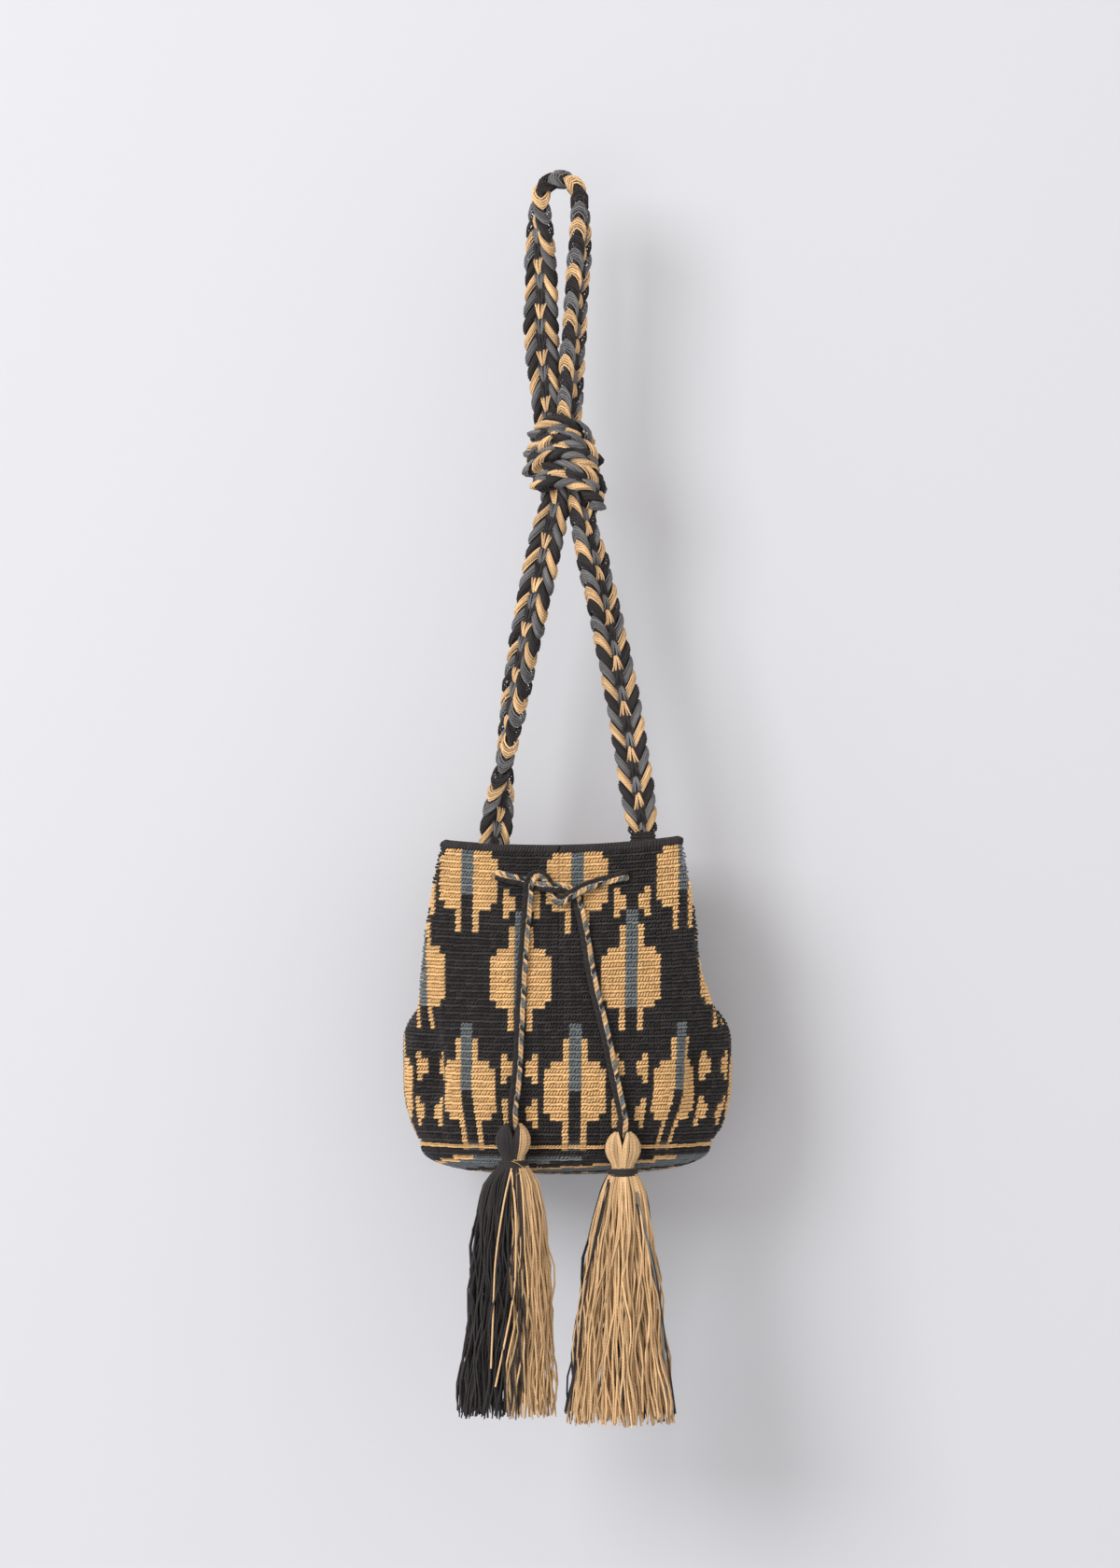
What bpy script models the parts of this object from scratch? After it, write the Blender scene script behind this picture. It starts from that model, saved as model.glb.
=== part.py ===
"""Wayuu mochila: a crocheted bucket bag on a braided strap, with a drawstring and two yarn tassels.

Run with: blender --background --python part.py
Metres, +Z up. The front faces -Y and +X is the viewer's right. The origin is where the strap's loop bears on
whatever the bag hangs from.
"""

import math

import bmesh
import bpy
from mathutils import Vector

# Driving sizes of the crocheted body
RIM_DROP = 0.4505            # top crochet row under the hanging point
ROWS = 40                    # crochet rounds in the wall
ROW_HEIGHT = 0.005           # one round
ROW_RIDGE = 0.0011           # how far the rope-like edge of a round stands proud
WALL = 0.0042                # thickness of the double-yarn crochet
RIM_ROLL_HEIGHT = 0.0040     # the rolled edge round the mouth
RIM_ROLL_BULGE = 0.0013
RIM_TILT = 0.014             # slope of the mouth, up to the right
RIM_DIP = 0.72               # curvature of the mouth's front edge, 1/m
BASE_SAG = 0.0165            # how far the round bottom hangs under its edge
INNER_LEVELS = 5             # rings down the plain inner wall

# The body's plan at heights above the bottom edge: how far it reaches to the left, the right, the front
# and the back, and how squarely (2 is an ellipse)
PLAN = (
    # height, left, right, front, back, squareness
    (0.000, 0.0930, 0.0960, 0.0660, 0.0640, 2.10),
    (0.016, 0.0995, 0.1085, 0.0705, 0.0690, 2.10),
    (0.034, 0.1040, 0.1140, 0.0725, 0.0710, 2.10),
    (0.055, 0.1050, 0.1150, 0.0730, 0.0710, 2.15),
    (0.090, 0.1040, 0.1125, 0.0700, 0.0680, 2.25),
    (0.120, 0.1010, 0.1025, 0.0640, 0.0610, 2.40),
    (0.150, 0.0965, 0.0980, 0.0540, 0.0510, 2.70),
    (0.180, 0.0910, 0.0930, 0.0430, 0.0410, 3.00),
    (0.205, 0.0870, 0.0900, 0.0350, 0.0340, 3.20),
)

# Side folds, where the strap pulls the mouth's sides inwards, and the creases in front of the side bulges
FOLD_FADE_TOP = 0.162        # above this height a fold is as deep as it gets
FOLD_FADE_END = 0.072        # and below this one it is gone
FOLD_FLOOR = math.radians(10)  # half the angle that the fold's bottom takes
FOLD_MOUTH = math.radians(27)  # half the angle over which it opens
CREASE_DEPTH = 0.0085
CREASE_ANGLE = math.radians(34)
CREASE_SPREAD = math.radians(9)
CREASE_HEIGHT = 0.052
CREASE_REACH = 0.030
# Angles of the body's ribs in a quarter turn, measured from the side, closer together at the fold
RIB_ANGLES = tuple(math.radians(a) for a in (0, 9, 18, 34, 52, 71, 90))

# Eyelets for the drawstring
EYELET_DIAMETER = 0.0098
EYELET_HEIGHT = 0.1835
FRONT_EYELETS = (-0.0420, 0.0440)
BACK_EYELETS = (-0.0270, 0.0370)

# Strap
STRAP_WIDTH = 0.0225
STRAP_THICKNESS = 0.0096
BUNDLE = 0.0104              # length of strap that one yarn bundle takes
BUNDLE_RIDGE = 0.0009
LOBE_GROOVE = 0.0016         # depth of the groove between the braid's two lobes
CHEVRON = 0.0050             # how far the middle of a bundle runs ahead of its edges
PEG_RADIUS = 0.0095          # what the loop is worn round
KNOT_DROP = 0.189            # middle of the knot under the hanging point
KNOT_TURNS = 3.0
KNOT_PITCH = 0.0158
KNOT_HALF_WIDTH = 0.0190
KNOT_HALF_DEPTH = 0.0150
KNOT_LEAN = 0.0045           # how far a turn runs to the right as it goes down
KNOT_BAND = 0.0148           # the strap is squeezed narrower in the knot
STRAP_TWIST_LEFT = math.radians(180)
LEG_BOW = 0.0035

# Whipped strap ends, sewn into the side folds
END_X = (-0.0455, 0.0562)
END_WIDTH = 0.0200
END_THICKNESS = 0.0100
END_BELOW_RIM = 0.028
END_ABOVE_RIM = (0.001, 0.014)
WHIPPING = 0.0048            # one turn of the black whipping
WHIPPING_RIDGE = 0.0005
END_SIDES = 8

# Drawstring and tassels
CORD = 0.005
CORD_STEP = 0.0140
CORD_KNOT_STEP = 0.0066
TASSEL_TOPS = ((-0.0312, -0.6325), (0.0418, -0.6380))
TASSEL_STAND_OFF = 0.0165    # a head's middle in front of the belly
HEAD_LENGTH = 0.0265
SWING_DEPTH = 0.0045         # the cord's end, and the swing's axis, under the top of a head
HEAD_HALF_WIDTH = (0.0118, 0.0122)
NECK_HALF = 0.0088
NECK_WRAP = 0.0044
SKIRT_LENGTH = 0.1680
SKIRT_HALF_WIDTH = (0.0325, 0.0365)
SKIRT_FLATNESS = 0.62
WRAP_EASE = 0.0012           # how soon the two hanks close under the cleft
FLUTE = 0.0009
FLUTES = 9

GAP = 0.0003
CLEFT = CORD / 2 + GAP       # half the slot between a head's two lobes, where the cord enters
WALL_HEIGHT = ROWS * ROW_HEIGHT
BOTTOM_EDGE_Z = -RIM_DROP - WALL_HEIGHT

BLACK = (0.024, 0.022, 0.023)
CAMEL = (0.600, 0.370, 0.150)
GREY = (0.125, 0.140, 0.150)


def clear_scene():
    """Removes whatever the scene starts with."""
    for obj in list(bpy.data.objects):
        bpy.data.objects.remove(obj, do_unlink=True)


def new_collection(name):
    """A collection linked to the scene."""
    collection = bpy.data.collections.new(name)
    bpy.context.scene.collection.children.link(collection)
    return collection


def yarn(name, colour, roughness=0.85, metallic=0.0):
    """A plain Principled material."""
    material = bpy.data.materials.new(name)
    material.use_nodes = True
    shader = material.node_tree.nodes["Principled BSDF"]
    shader.inputs["Base Color"].default_value = (*colour, 1.0)
    shader.inputs["Roughness"].default_value = roughness
    shader.inputs["Metallic"].default_value = metallic
    return material


def smooth_step(value):
    """0 to 1 with level ends."""
    t = min(max(value, 0.0), 1.0)
    return t * t * (3.0 - 2.0 * t)


def spline_at(stations, position):
    """Catmull-Rom reading of rows whose first value is the position; returns the other values."""
    last = len(stations) - 1
    i = 0
    while i < last - 1 and stations[i + 1][0] < position:
        i += 1
    before, start, end, after = (stations[min(max(k, 0), last)] for k in (i - 1, i, i + 1, i + 2))
    t = min(max((position - start[0]) / (end[0] - start[0]), 0.0), 1.0)
    values = []
    for a, b, c, d in zip(before[1:], start[1:], end[1:], after[1:]):
        curve = (2 * a - 5 * b + 4 * c - d) * t * t + (3 * b - a - 3 * c + d) * t ** 3
        values.append(0.5 * (2 * b + (c - a) * t + curve))
    return values


def smooth_path(points, step):
    """Points every step or so along a Catmull-Rom curve through the given points."""
    rows = [(float(i), *p) for i, p in enumerate(points)]
    path = []
    for i in range(len(points) - 1):
        count = max(1, round((Vector(points[i + 1][:3]) - Vector(points[i][:3])).length / step))
        path += [spline_at(rows, i + k / count) for k in range(count)]
    path.append(list(points[-1]))
    return path


def even_path(points, step):
    """The same curve, read at equal lengths."""
    fine = smooth_path(points, step / 12)
    lengths = [0.0]
    for a, b in zip(fine, fine[1:]):
        lengths.append(lengths[-1] + (Vector(b[:3]) - Vector(a[:3])).length)
    count = max(2, round(lengths[-1] / step))
    path = []
    i = 0
    for k in range(count + 1):
        want = lengths[-1] * k / count
        while i < len(fine) - 2 and lengths[i + 1] < want:
            i += 1
        t = min(max((want - lengths[i]) / (lengths[i + 1] - lengths[i]), 0.0), 1.0)
        path.append([a + (b - a) * t for a, b in zip(fine[i], fine[i + 1])])
    return path


def mesh_object(name, bm, material, collection):
    """An object from a bmesh, shaded smooth."""
    bmesh.ops.recalc_face_normals(bm, faces=bm.faces)
    mesh = bpy.data.meshes.new(name)
    bm.to_mesh(mesh)
    bm.free()
    mesh.shade_smooth()
    mesh.materials.append(material)
    obj = bpy.data.objects.new(name, mesh)
    collection.objects.link(obj)
    return obj


def skin(rings, poles=(None, None)):
    """A closed bmesh over rings of equal count. An end without a pole gets a flat cap."""
    bm = bmesh.new()
    loops = [[bm.verts.new(p) for p in ring] for ring in rings]
    count = len(loops[0])
    for lower, upper in zip(loops, loops[1:]):
        for i in range(count):
            j = (i + 1) % count
            bm.faces.new((lower[i], lower[j], upper[j], upper[i]))
    for loop, pole in ((loops[0][::-1], poles[0]), (loops[-1], poles[1])):
        if pole is None:
            bm.faces.new(loop)
            continue
        middle = bm.verts.new(pole)
        for i in range(count):
            bm.faces.new((loop[i], loop[(i + 1) % count], middle))
    return bm


def fold_depths(height, left, right):
    """How deep the left and right folds are at a height: down to the inner edge of the strap's end."""
    fade = smooth_step((height - FOLD_FADE_END) / (FOLD_FADE_TOP - FOLD_FADE_END))
    half = END_WIDTH / 2 + GAP + max(ROW_RIDGE, RIM_ROLL_BULGE)
    return ((left + END_X[0] + half) * fade, (right - END_X[1] + half) * fade)


def plan_point(angle, height):
    """The body's smooth outer surface at an angle from +X and a height, as x and y."""
    left, right, front, back, squareness = spline_at(PLAN, height)
    c, s = math.cos(angle), math.sin(angle)
    power = 2.0 / squareness
    x = math.copysign(abs(c) ** power, c) * (right if c > 0 else left)
    y = math.copysign(abs(s) ** power, s) * (back if s > 0 else front)
    depth = fold_depths(height, left, right)[1 if c > 0 else 0]
    from_side = math.atan2(s, abs(c))
    folded = 1.0 - smooth_step((abs(from_side) - FOLD_FLOOR) / (FOLD_MOUTH - FOLD_FLOOR))
    x -= math.copysign(depth * folded, c)
    near = math.exp(-(((from_side + CREASE_ANGLE) / CREASE_SPREAD) ** 2))
    near *= math.exp(-(((height - CREASE_HEIGHT) / CREASE_REACH) ** 2))
    return x - CREASE_DEPTH * near * c, y - CREASE_DEPTH * near * s


def wall_point(angle, height, out=0.0):
    """A point of the wall, moved out along its normal, with the mouth's slope and dip."""
    step = 0.02
    x, y = plan_point(angle, height)
    ahead = plan_point(angle + step, height)
    behind = plan_point(angle - step, height)
    tangent = Vector((ahead[0] - behind[0], ahead[1] - behind[1])).normalized()
    x, y = x + tangent.y * out, y - tangent.x * out
    share = max(height / WALL_HEIGHT, 0.0) ** 2
    lift = (RIM_TILT * x + RIM_DIP * x * x - RIM_TILT * 0.08) * share
    return Vector((x, y, BOTTOM_EDGE_Z + height + lift))


def ribs():
    """The angles of the body's ribs, all the way round."""
    quarter = RIB_ANGLES
    half = list(quarter) + [math.pi - a for a in quarter[-2::-1]]
    return half + [math.pi + a for a in half[1:-1]]


def ring_at(height, out=0.0):
    """One ring of the wall."""
    return [wall_point(angle, height, out) for angle in ribs()]


def base_ring(share, drop, inset):
    """One ring of the sagging bottom, at a share of its reach."""
    ring = []
    for point in ring_at(0.0, -inset):
        sag = BASE_SAG * math.sqrt(1.0 - share ** 6)
        ring.append(Vector((point.x * share, point.y * share, BOTTOM_EDGE_Z - sag + drop)))
    return ring


def bag_body(collection, cutters, material):
    """The crocheted body in one piece: ridged rounds, side folds, rolled edge, round bottom, open mouth."""
    rings = [base_ring(share, 0.0, 0.0) for share in (0.28, 0.56, 0.80, 0.92, 0.98)]
    for row in range(ROWS):
        rings.append(ring_at(row * ROW_HEIGHT + ROW_HEIGHT * 0.10))
        rings.append(ring_at(row * ROW_HEIGHT + ROW_HEIGHT * 0.55, ROW_RIDGE))
    rings.append(ring_at(WALL_HEIGHT))
    rings.append(ring_at(WALL_HEIGHT + RIM_ROLL_HEIGHT * 0.45, RIM_ROLL_BULGE))
    rings.append(ring_at(WALL_HEIGHT + RIM_ROLL_HEIGHT, -WALL * 0.35))
    rings.append(ring_at(WALL_HEIGHT + RIM_ROLL_HEIGHT * 0.75, -WALL))
    for level in range(INNER_LEVELS):
        rings.append(ring_at(WALL_HEIGHT * (1.0 - level / INNER_LEVELS) - WALL / 2, -WALL))
    rings += [base_ring(share, WALL, WALL) for share in (0.96, 0.86, 0.62, 0.30)]
    low = Vector((0.0, 0.0, BOTTOM_EDGE_Z - BASE_SAG))
    bm = skin(rings, (low, low + Vector((0.0, 0.0, WALL))))
    body = mesh_object("bag_body", bm, material, collection)
    cutter = eyelet_cutters(cutters)
    cut = body.modifiers.new("eyelets", "BOOLEAN")
    cut.operation = "DIFFERENCE"
    cut.solver = "EXACT"
    cut.object = cutter
    return body


def front_y(x, height):
    """Where the smooth front of the wall is, at an x clear of the folds."""
    left, right, front, _, squareness = spline_at(PLAN, height)
    share = min(abs(x) / (right if x > 0 else left), 1.0)
    return -front * (1.0 - share ** squareness) ** (1.0 / squareness)


def back_y(x, height):
    """Where the smooth back of the wall is."""
    left, right, _, back, squareness = spline_at(PLAN, height)
    share = min(abs(x) / (right if x > 0 else left), 1.0)
    return back * (1.0 - share ** squareness) ** (1.0 / squareness)


def eyelet_cutters(collection):
    """Four round holes through the wall for the drawstring, as one cutter of separate cylinders."""
    bm = bmesh.new()
    z = BOTTOM_EDGE_Z + EYELET_HEIGHT
    places = [(x, front_y(x, EYELET_HEIGHT)) for x in FRONT_EYELETS]
    places += [(x, back_y(x, EYELET_HEIGHT)) for x in BACK_EYELETS]
    for x, y in places:
        made = bmesh.ops.create_cone(
            bm, cap_ends=True, segments=10, radius1=EYELET_DIAMETER / 2,
            radius2=EYELET_DIAMETER / 2, depth=WALL * 4)
        bmesh.ops.rotate(bm, verts=made["verts"], matrix=turn_to_y())
        bmesh.ops.translate(bm, verts=made["verts"], vec=(x, y - math.copysign(WALL / 2, y), z))
    mesh = bpy.data.meshes.new("eyelet_cutter")
    bm.to_mesh(mesh)
    bm.free()
    cutter = bpy.data.objects.new("eyelet_cutter", mesh)
    cutter.hide_render = True
    cutter.display_type = "WIRE"
    collection.objects.link(cutter)
    return cutter


def turn_to_y():
    """The rotation that lays a +Z axis along +Y."""
    return Vector((0, 0, 1)).rotation_difference(Vector((0, 1, 0))).to_matrix()


def band_rings(path, width, lobes=True):
    """Rings of the braid along a path of (x, y, z, turn, width share): chevron ridges, two lobes a side.

    The turn is that of the braid's width, from lying in the XZ plane towards Y."""
    points = [Vector(p[:3]) for p in path]
    rings = []
    for k, row in enumerate(path):
        end = k in (0, len(path) - 1)
        tangent = (points[min(k + 1, len(points) - 1)] - points[max(k - 1, 0)]).normalized()
        if end:
            tangent = Vector((0.0, 0.0, 1.0 if k == 0 else -1.0))
        across = tangent.cross(Vector((0.0, 1.0, 0.0))).normalized()
        depth = across.cross(tangent).normalized()
        turn = row[3]
        side = across * math.cos(turn) + depth * math.sin(turn)
        face = depth * math.cos(turn) - across * math.sin(turn)
        half = width / 2 * row[4]
        low = 0.0 if k % 2 else BUNDLE_RIDGE
        top = STRAP_THICKNESS / 2 - low
        ahead = tangent * (0.0 if end else CHEVRON)
        edge = [points[k] + side * (half - low * 0.6), points[k] - side * (half - low * 0.6)]
        crest = [points[k] + side * half * s * 0.56 + face * top * f + ahead * 0.5
                 for s, f in ((1, 1), (-1, 1), (-1, -1), (1, -1))]
        groove = [points[k] + face * (top - LOBE_GROOVE) * f + ahead for f in (1, -1)]
        if lobes:
            rings.append([edge[0], crest[0], groove[0], crest[1], edge[1], crest[2], groove[1], crest[3]])
        else:
            rings.append([edge[0], crest[0], crest[1], edge[1], crest[2], crest[3]])
    return rings


def end_top(side):
    """Middle of the braid's cut end on the left (0) or right (1), just above the whipped end."""
    x = END_X[side]
    height = WALL_HEIGHT + RIM_ROLL_HEIGHT + END_ABOVE_RIM[side]
    return Vector((x, 0.0, BOTTOM_EDGE_Z + height + GAP))


def leg(side, knot_foot, turn_top, turn_foot):
    """Route rows of one strap leg, from the whipped end up to the knot."""
    foot = end_top(side)
    rows = []
    for k in range(7):
        t = k / 7
        point = foot.lerp(knot_foot, t)
        bow = LEG_BOW * math.sin(math.pi * t) * (1 if side else -1)
        turn = turn_foot + (turn_top - turn_foot) * smooth_step(t / 0.8 if side == 0 else t)
        rows.append((point.x + bow, point.y, point.z, turn, 1.0 if t > 0.1 else 0.92))
    return rows


def strap_route():
    """The strap from its left end, up through the knot, over the peg and down to its right end."""
    quarter = math.pi / 2
    left_foot = Vector((-0.0035, 0.0, -KNOT_DROP - 0.026))
    right_foot = Vector((0.0160, 0.0, -KNOT_DROP - 0.040))
    rows = leg(0, left_foot, 0.15, STRAP_TWIST_LEFT)
    rows += [
        (*left_foot, 0.35, 0.70),
        (-0.0062, 0.0, -KNOT_DROP, 0.60, 0.55),
        (-0.0078, 0.0, -KNOT_DROP + 0.026, 0.90, 0.60),
        (-0.0110, 0.0, -0.122, 0.45, 0.90),
        (-0.0128, 0.0, -0.096, 0.20, 1.00),
        (-0.0124, 0.0, -0.070, 0.35, 1.00),
        (-0.0135, 0.0, -0.040, 1.00, 1.00),
    ]
    radius = PEG_RADIUS + STRAP_THICKNESS / 2
    for k in range(5):
        around = math.pi * (1.0 - k / 4)
        rows.append((radius * math.cos(around), 0.0, -PEG_RADIUS + radius * math.sin(around), quarter, 0.86))
    rows += [
        (0.0138, 0.0, -0.040, quarter, 0.92),
        (0.0115, 0.0, -0.072, quarter, 0.92),
        (0.0097, 0.0, -0.100, 1.40, 0.92),
        (0.0082, 0.0, -0.126, 1.20, 0.90),
        (0.0070, 0.0, -KNOT_DROP + 0.026, 0.95, 0.60),
        (0.0085, 0.0, -KNOT_DROP, 0.70, 0.55),
        (*right_foot, 0.60, 0.70),
    ]
    return rows + leg(1, right_foot, 0.45, 0.05)[::-1]


def knot_turns():
    """Route rows of the knot's turns round the doubled strap, from the top left, downwards."""
    rows = []
    per_turn = 12
    count = round(KNOT_TURNS * per_turn)
    for k in range(count + 1):
        turn = k / per_turn
        around = math.pi + 2 * math.pi * turn
        middle = KNOT_LEAN * (turn - KNOT_TURNS / 2)
        x = 0.0022 + middle + KNOT_HALF_WIDTH * math.cos(around)
        y = KNOT_HALF_DEPTH * math.sin(around)
        arch = 0.0040 * math.cos(2 * around) * (1.0 - turn / KNOT_TURNS)
        z = -KNOT_DROP + KNOT_PITCH * (KNOT_TURNS / 2 - turn) - arch
        rows.append((x, y, z, 0.0, 1.0))
    return rows


def coil_rings(rows, axis_x):
    """Rings of the flat band wound round the knot: its width along the knot's axis."""
    points = [Vector(r[:3]) for r in rows]
    rings = []
    for k, point in enumerate(points):
        tangent = (points[min(k + 1, len(points) - 1)] - points[max(k - 1, 0)]).normalized()
        outward = Vector((point.x - axis_x, point.y, 0.0)).normalized()
        up = outward.cross(tangent).normalized()
        outward = tangent.cross(up).normalized()
        low = 0.0 if k % 2 else BUNDLE_RIDGE
        top = STRAP_THICKNESS / 2 - low
        half = KNOT_BAND / 2
        ahead = tangent * CHEVRON * 0.5
        ring = [point + up * half]
        ring += [point + up * half * s * 0.5 + outward * top * f + ahead for s, f in ((1, 1), (-1, 1))]
        ring.append(point - up * half)
        ring += [point + up * half * s * 0.5 + outward * top * f + ahead for s, f in ((-1, -1), (1, -1))]
        rings.append(ring)
    return rings


def strap(collection, material):
    """The braided strap with its knot: the band and the knot's turns, joined as one body."""
    band = skin(band_rings(even_path(strap_route(), BUNDLE / 2), STRAP_WIDTH))
    turns = skin(coil_rings(even_path(knot_turns(), BUNDLE / 2), 0.0022))
    obj = mesh_object("strap", band, material, collection)
    wound = mesh_object("knot_turns", turns, material, collection)
    join = obj.modifiers.new("knot", "BOOLEAN")
    join.operation = "UNION"
    join.solver = "EXACT"
    join.object = wound
    graph = bpy.context.evaluated_depsgraph_get()
    joined = bpy.data.meshes.new_from_object(obj.evaluated_get(graph))
    obj.modifiers.clear()
    obj.data = joined
    bpy.data.objects.remove(wound, do_unlink=True)
    return obj


def strap_end(name, side, collection, material):
    """A strap end bound in black yarn, lying in the side fold, where it is sewn."""
    top = end_top(side) - Vector((0.0, 0.0, 2 * GAP))
    bottom = BOTTOM_EDGE_Z + WALL_HEIGHT - END_BELOW_RIM
    count = max(4, round((top.z - bottom) / WHIPPING * 2))
    rings = []
    for k in range(count + 1):
        z = bottom + (top.z - bottom) * k / count
        low = WHIPPING_RIDGE if k % 2 else 0.0
        if k == 0:
            low = END_THICKNESS / 5
        ring = []
        for i in range(END_SIDES):
            around = 2 * math.pi * i / END_SIDES
            c, s = math.cos(around), math.sin(around)
            x = math.copysign(abs(c) ** 0.7, c) * (END_WIDTH / 2 - low)
            y = math.copysign(abs(s) ** 0.7, s) * (END_THICKNESS / 2 - low)
            ring.append(Vector((top.x + x, y, z)))
        rings.append(ring)
    return mesh_object(name, skin(rings), material, collection)


def tassel_head(side):
    """Where the drawstring enters a tassel: the top middle of its head."""
    x, z = TASSEL_TOPS[side]
    belly = front_y(x, z - HEAD_LENGTH / 2 - BOTTOM_EDGE_Z)
    return Vector((x, belly - TASSEL_STAND_OFF, z))


def tassel_pivot(side):
    """The point that a tassel swings about, at the end of the drawstring."""
    return tassel_head(side) - Vector((0.0, 0.0, SWING_DEPTH))


def tie_points():
    """The half knot in front, as (x, z under the rim, distance of the cord's middle from the wall).

    The first run comes from the left eyelet and leaves as the right tail, the second the other way."""
    near, mid, far = 0.0041, 0.0070, 0.0106
    first = [
        (-0.0335, -0.0185, 0.0050), (-0.0262, -0.0200, near), (-0.0206, -0.0218, near),
        (-0.0140, -0.0236, mid), (-0.0062, -0.0242, far), (0.0012, -0.0248, mid), (0.0078, -0.0272, near),
        (0.0118, -0.0350, near),
    ]
    second = [
        (0.0345, -0.0185, 0.0050), (0.0250, -0.0212, near), (0.0160, -0.0245, mid), (0.0082, -0.0286, far),
        (0.0018, -0.0330, mid), (-0.0036, -0.0312, 0.0056), (-0.0068, -0.0246, near), (-0.0094, -0.0186, near),
        (-0.0146, -0.0158, mid), (-0.0192, -0.0178, far), (-0.0210, -0.0232, far), (-0.0212, -0.0300, mid),
    ]
    return first, second


def drawstring_route():
    """The drawstring's route from the left tassel to the right one."""
    rim = -RIM_DROP
    first, second = tie_points()

    def on_front(rows):
        return [(x, front_y(x, rim + z - BOTTOM_EDGE_Z) - off, rim + z) for x, z, off in rows]

    eyelet_z = BOTTOM_EDGE_Z + EYELET_HEIGHT
    reach = WALL / 2
    left, right = tassel_pivot(0), tassel_pivot(1)
    left_tail = on_front([(-0.0228, -0.048, 0.0041), (-0.0252, -0.080, 0.0040), (-0.0270, -0.115, 0.0040),
                          (-0.0288, -0.150, 0.0044)])
    right_tail = on_front([(0.0160, -0.052, 0.0041), (0.0215, -0.085, 0.0040), (0.0300, -0.120, 0.0040),
                           (0.0368, -0.153, 0.0044)])

    def eyelet(x, y):
        """Through the wall's middle, in from outside."""
        out = math.copysign(1.0, y)
        middle = y - out * reach
        lean = math.copysign(0.0014, -x)
        return [(x + lean, middle + out * 0.0078, eyelet_z), (x, middle, eyelet_z),
                (x + lean * 0.5, middle - out * 0.0070, eyelet_z)]

    front = [eyelet(x, front_y(x, EYELET_HEIGHT)) for x in FRONT_EYELETS]
    back = [eyelet(x, back_y(x, EYELET_HEIGHT)) for x in BACK_EYELETS]
    valley_left = END_X[0] + END_WIDTH / 2 + WALL
    valley_right = END_X[1] - END_WIDTH / 2 - WALL
    round_left = [(valley_left + 0.0080, -0.012, eyelet_z), (valley_left + 0.0075, 0.002, eyelet_z),
                  (valley_left + 0.0060, 0.016, eyelet_z)]
    round_right = [(valley_right - 0.0060, 0.016, eyelet_z), (valley_right - 0.0070, 0.002, eyelet_z),
                   (valley_right - 0.0075, -0.012, eyelet_z)]
    behind = [(x, back_y(x, EYELET_HEIGHT) + 0.0062, eyelet_z) for x in (-0.012, 0.004, 0.022)]
    tail_up = [(left.x, left.y, left.z + rise) for rise in (GAP, 0.007, 0.015)] + left_tail[::-1]
    tail_down = right_tail + [(right.x, right.y, right.z + rise) for rise in (0.015, 0.007, GAP)]
    inside = round_right[::-1] + back[1][::-1] + behind[::-1] + back[0] + round_left[::-1]
    return tail_up + on_front(second[::-1]) + front[1] + inside + front[0][::-1] + on_front(first) + tail_down


def drawstring(collection, material):
    """One cord through the eyelets, half knotted in front, a tassel on each end."""
    route = drawstring_route()
    tie_top = -RIM_DROP - 0.010
    tie_foot = -RIM_DROP - 0.042
    points = []
    for a in even_path(route, CORD_KNOT_STEP / 2):
        in_tie = tie_foot < a[2] < tie_top and a[1] < front_y(a[0], a[2] - BOTTOM_EDGE_Z) + 0.002
        at_back = a[1] > back_y(a[0], EYELET_HEIGHT) - WALL
        ends = min((Vector(a) - Vector(route[k])).length for k in (0, -1))
        fine = in_tie or at_back or ends < CORD_STEP
        step = CORD_KNOT_STEP if fine else CORD_STEP
        if not points or (Vector(a) - Vector(points[-1])).length >= step - CORD_KNOT_STEP / 4:
            points.append(a)
    if (Vector(points[-1]) - Vector(route[-1])).length < CORD_KNOT_STEP:
        points.pop()
    points.append(route[-1])
    curve = bpy.data.curves.new("drawstring", "CURVE")
    curve.dimensions = "3D"
    curve.bevel_depth = CORD / 2
    curve.bevel_resolution = 2
    curve.use_fill_caps = True
    spline = curve.splines.new("POLY")
    spline.points.add(len(points) - 1)
    for knot, place in zip(spline.points, points):
        knot.co = (*place, 1.0)
    curve.materials.append(material)
    obj = bpy.data.objects.new("drawstring", curve)
    collection.objects.link(obj)
    return obj


def tassel_outline(side, along):
    """A tassel's half width and half depth at a distance down from its top."""
    width = HEAD_HALF_WIDTH[side]
    if along < HEAD_LENGTH:
        t = along / HEAD_LENGTH
        swell = math.sin(math.pi * min(t * 1.02 + 0.10, 1.0)) ** 0.5
        neck = smooth_step((t - 0.55) / 0.45)
        half = width * swell * (1 - neck) + NECK_HALF * neck
        return half, half * 0.95
    t = (along - HEAD_LENGTH) / SKIRT_LENGTH
    spread = 1.0 - math.exp(-t * 5.0)
    half = NECK_HALF + (SKIRT_HALF_WIDTH[side] - NECK_HALF) * spread
    depth = NECK_HALF + (SKIRT_HALF_WIDTH[side] * SKIRT_FLATNESS - NECK_HALF) * spread
    return half, depth


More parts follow.
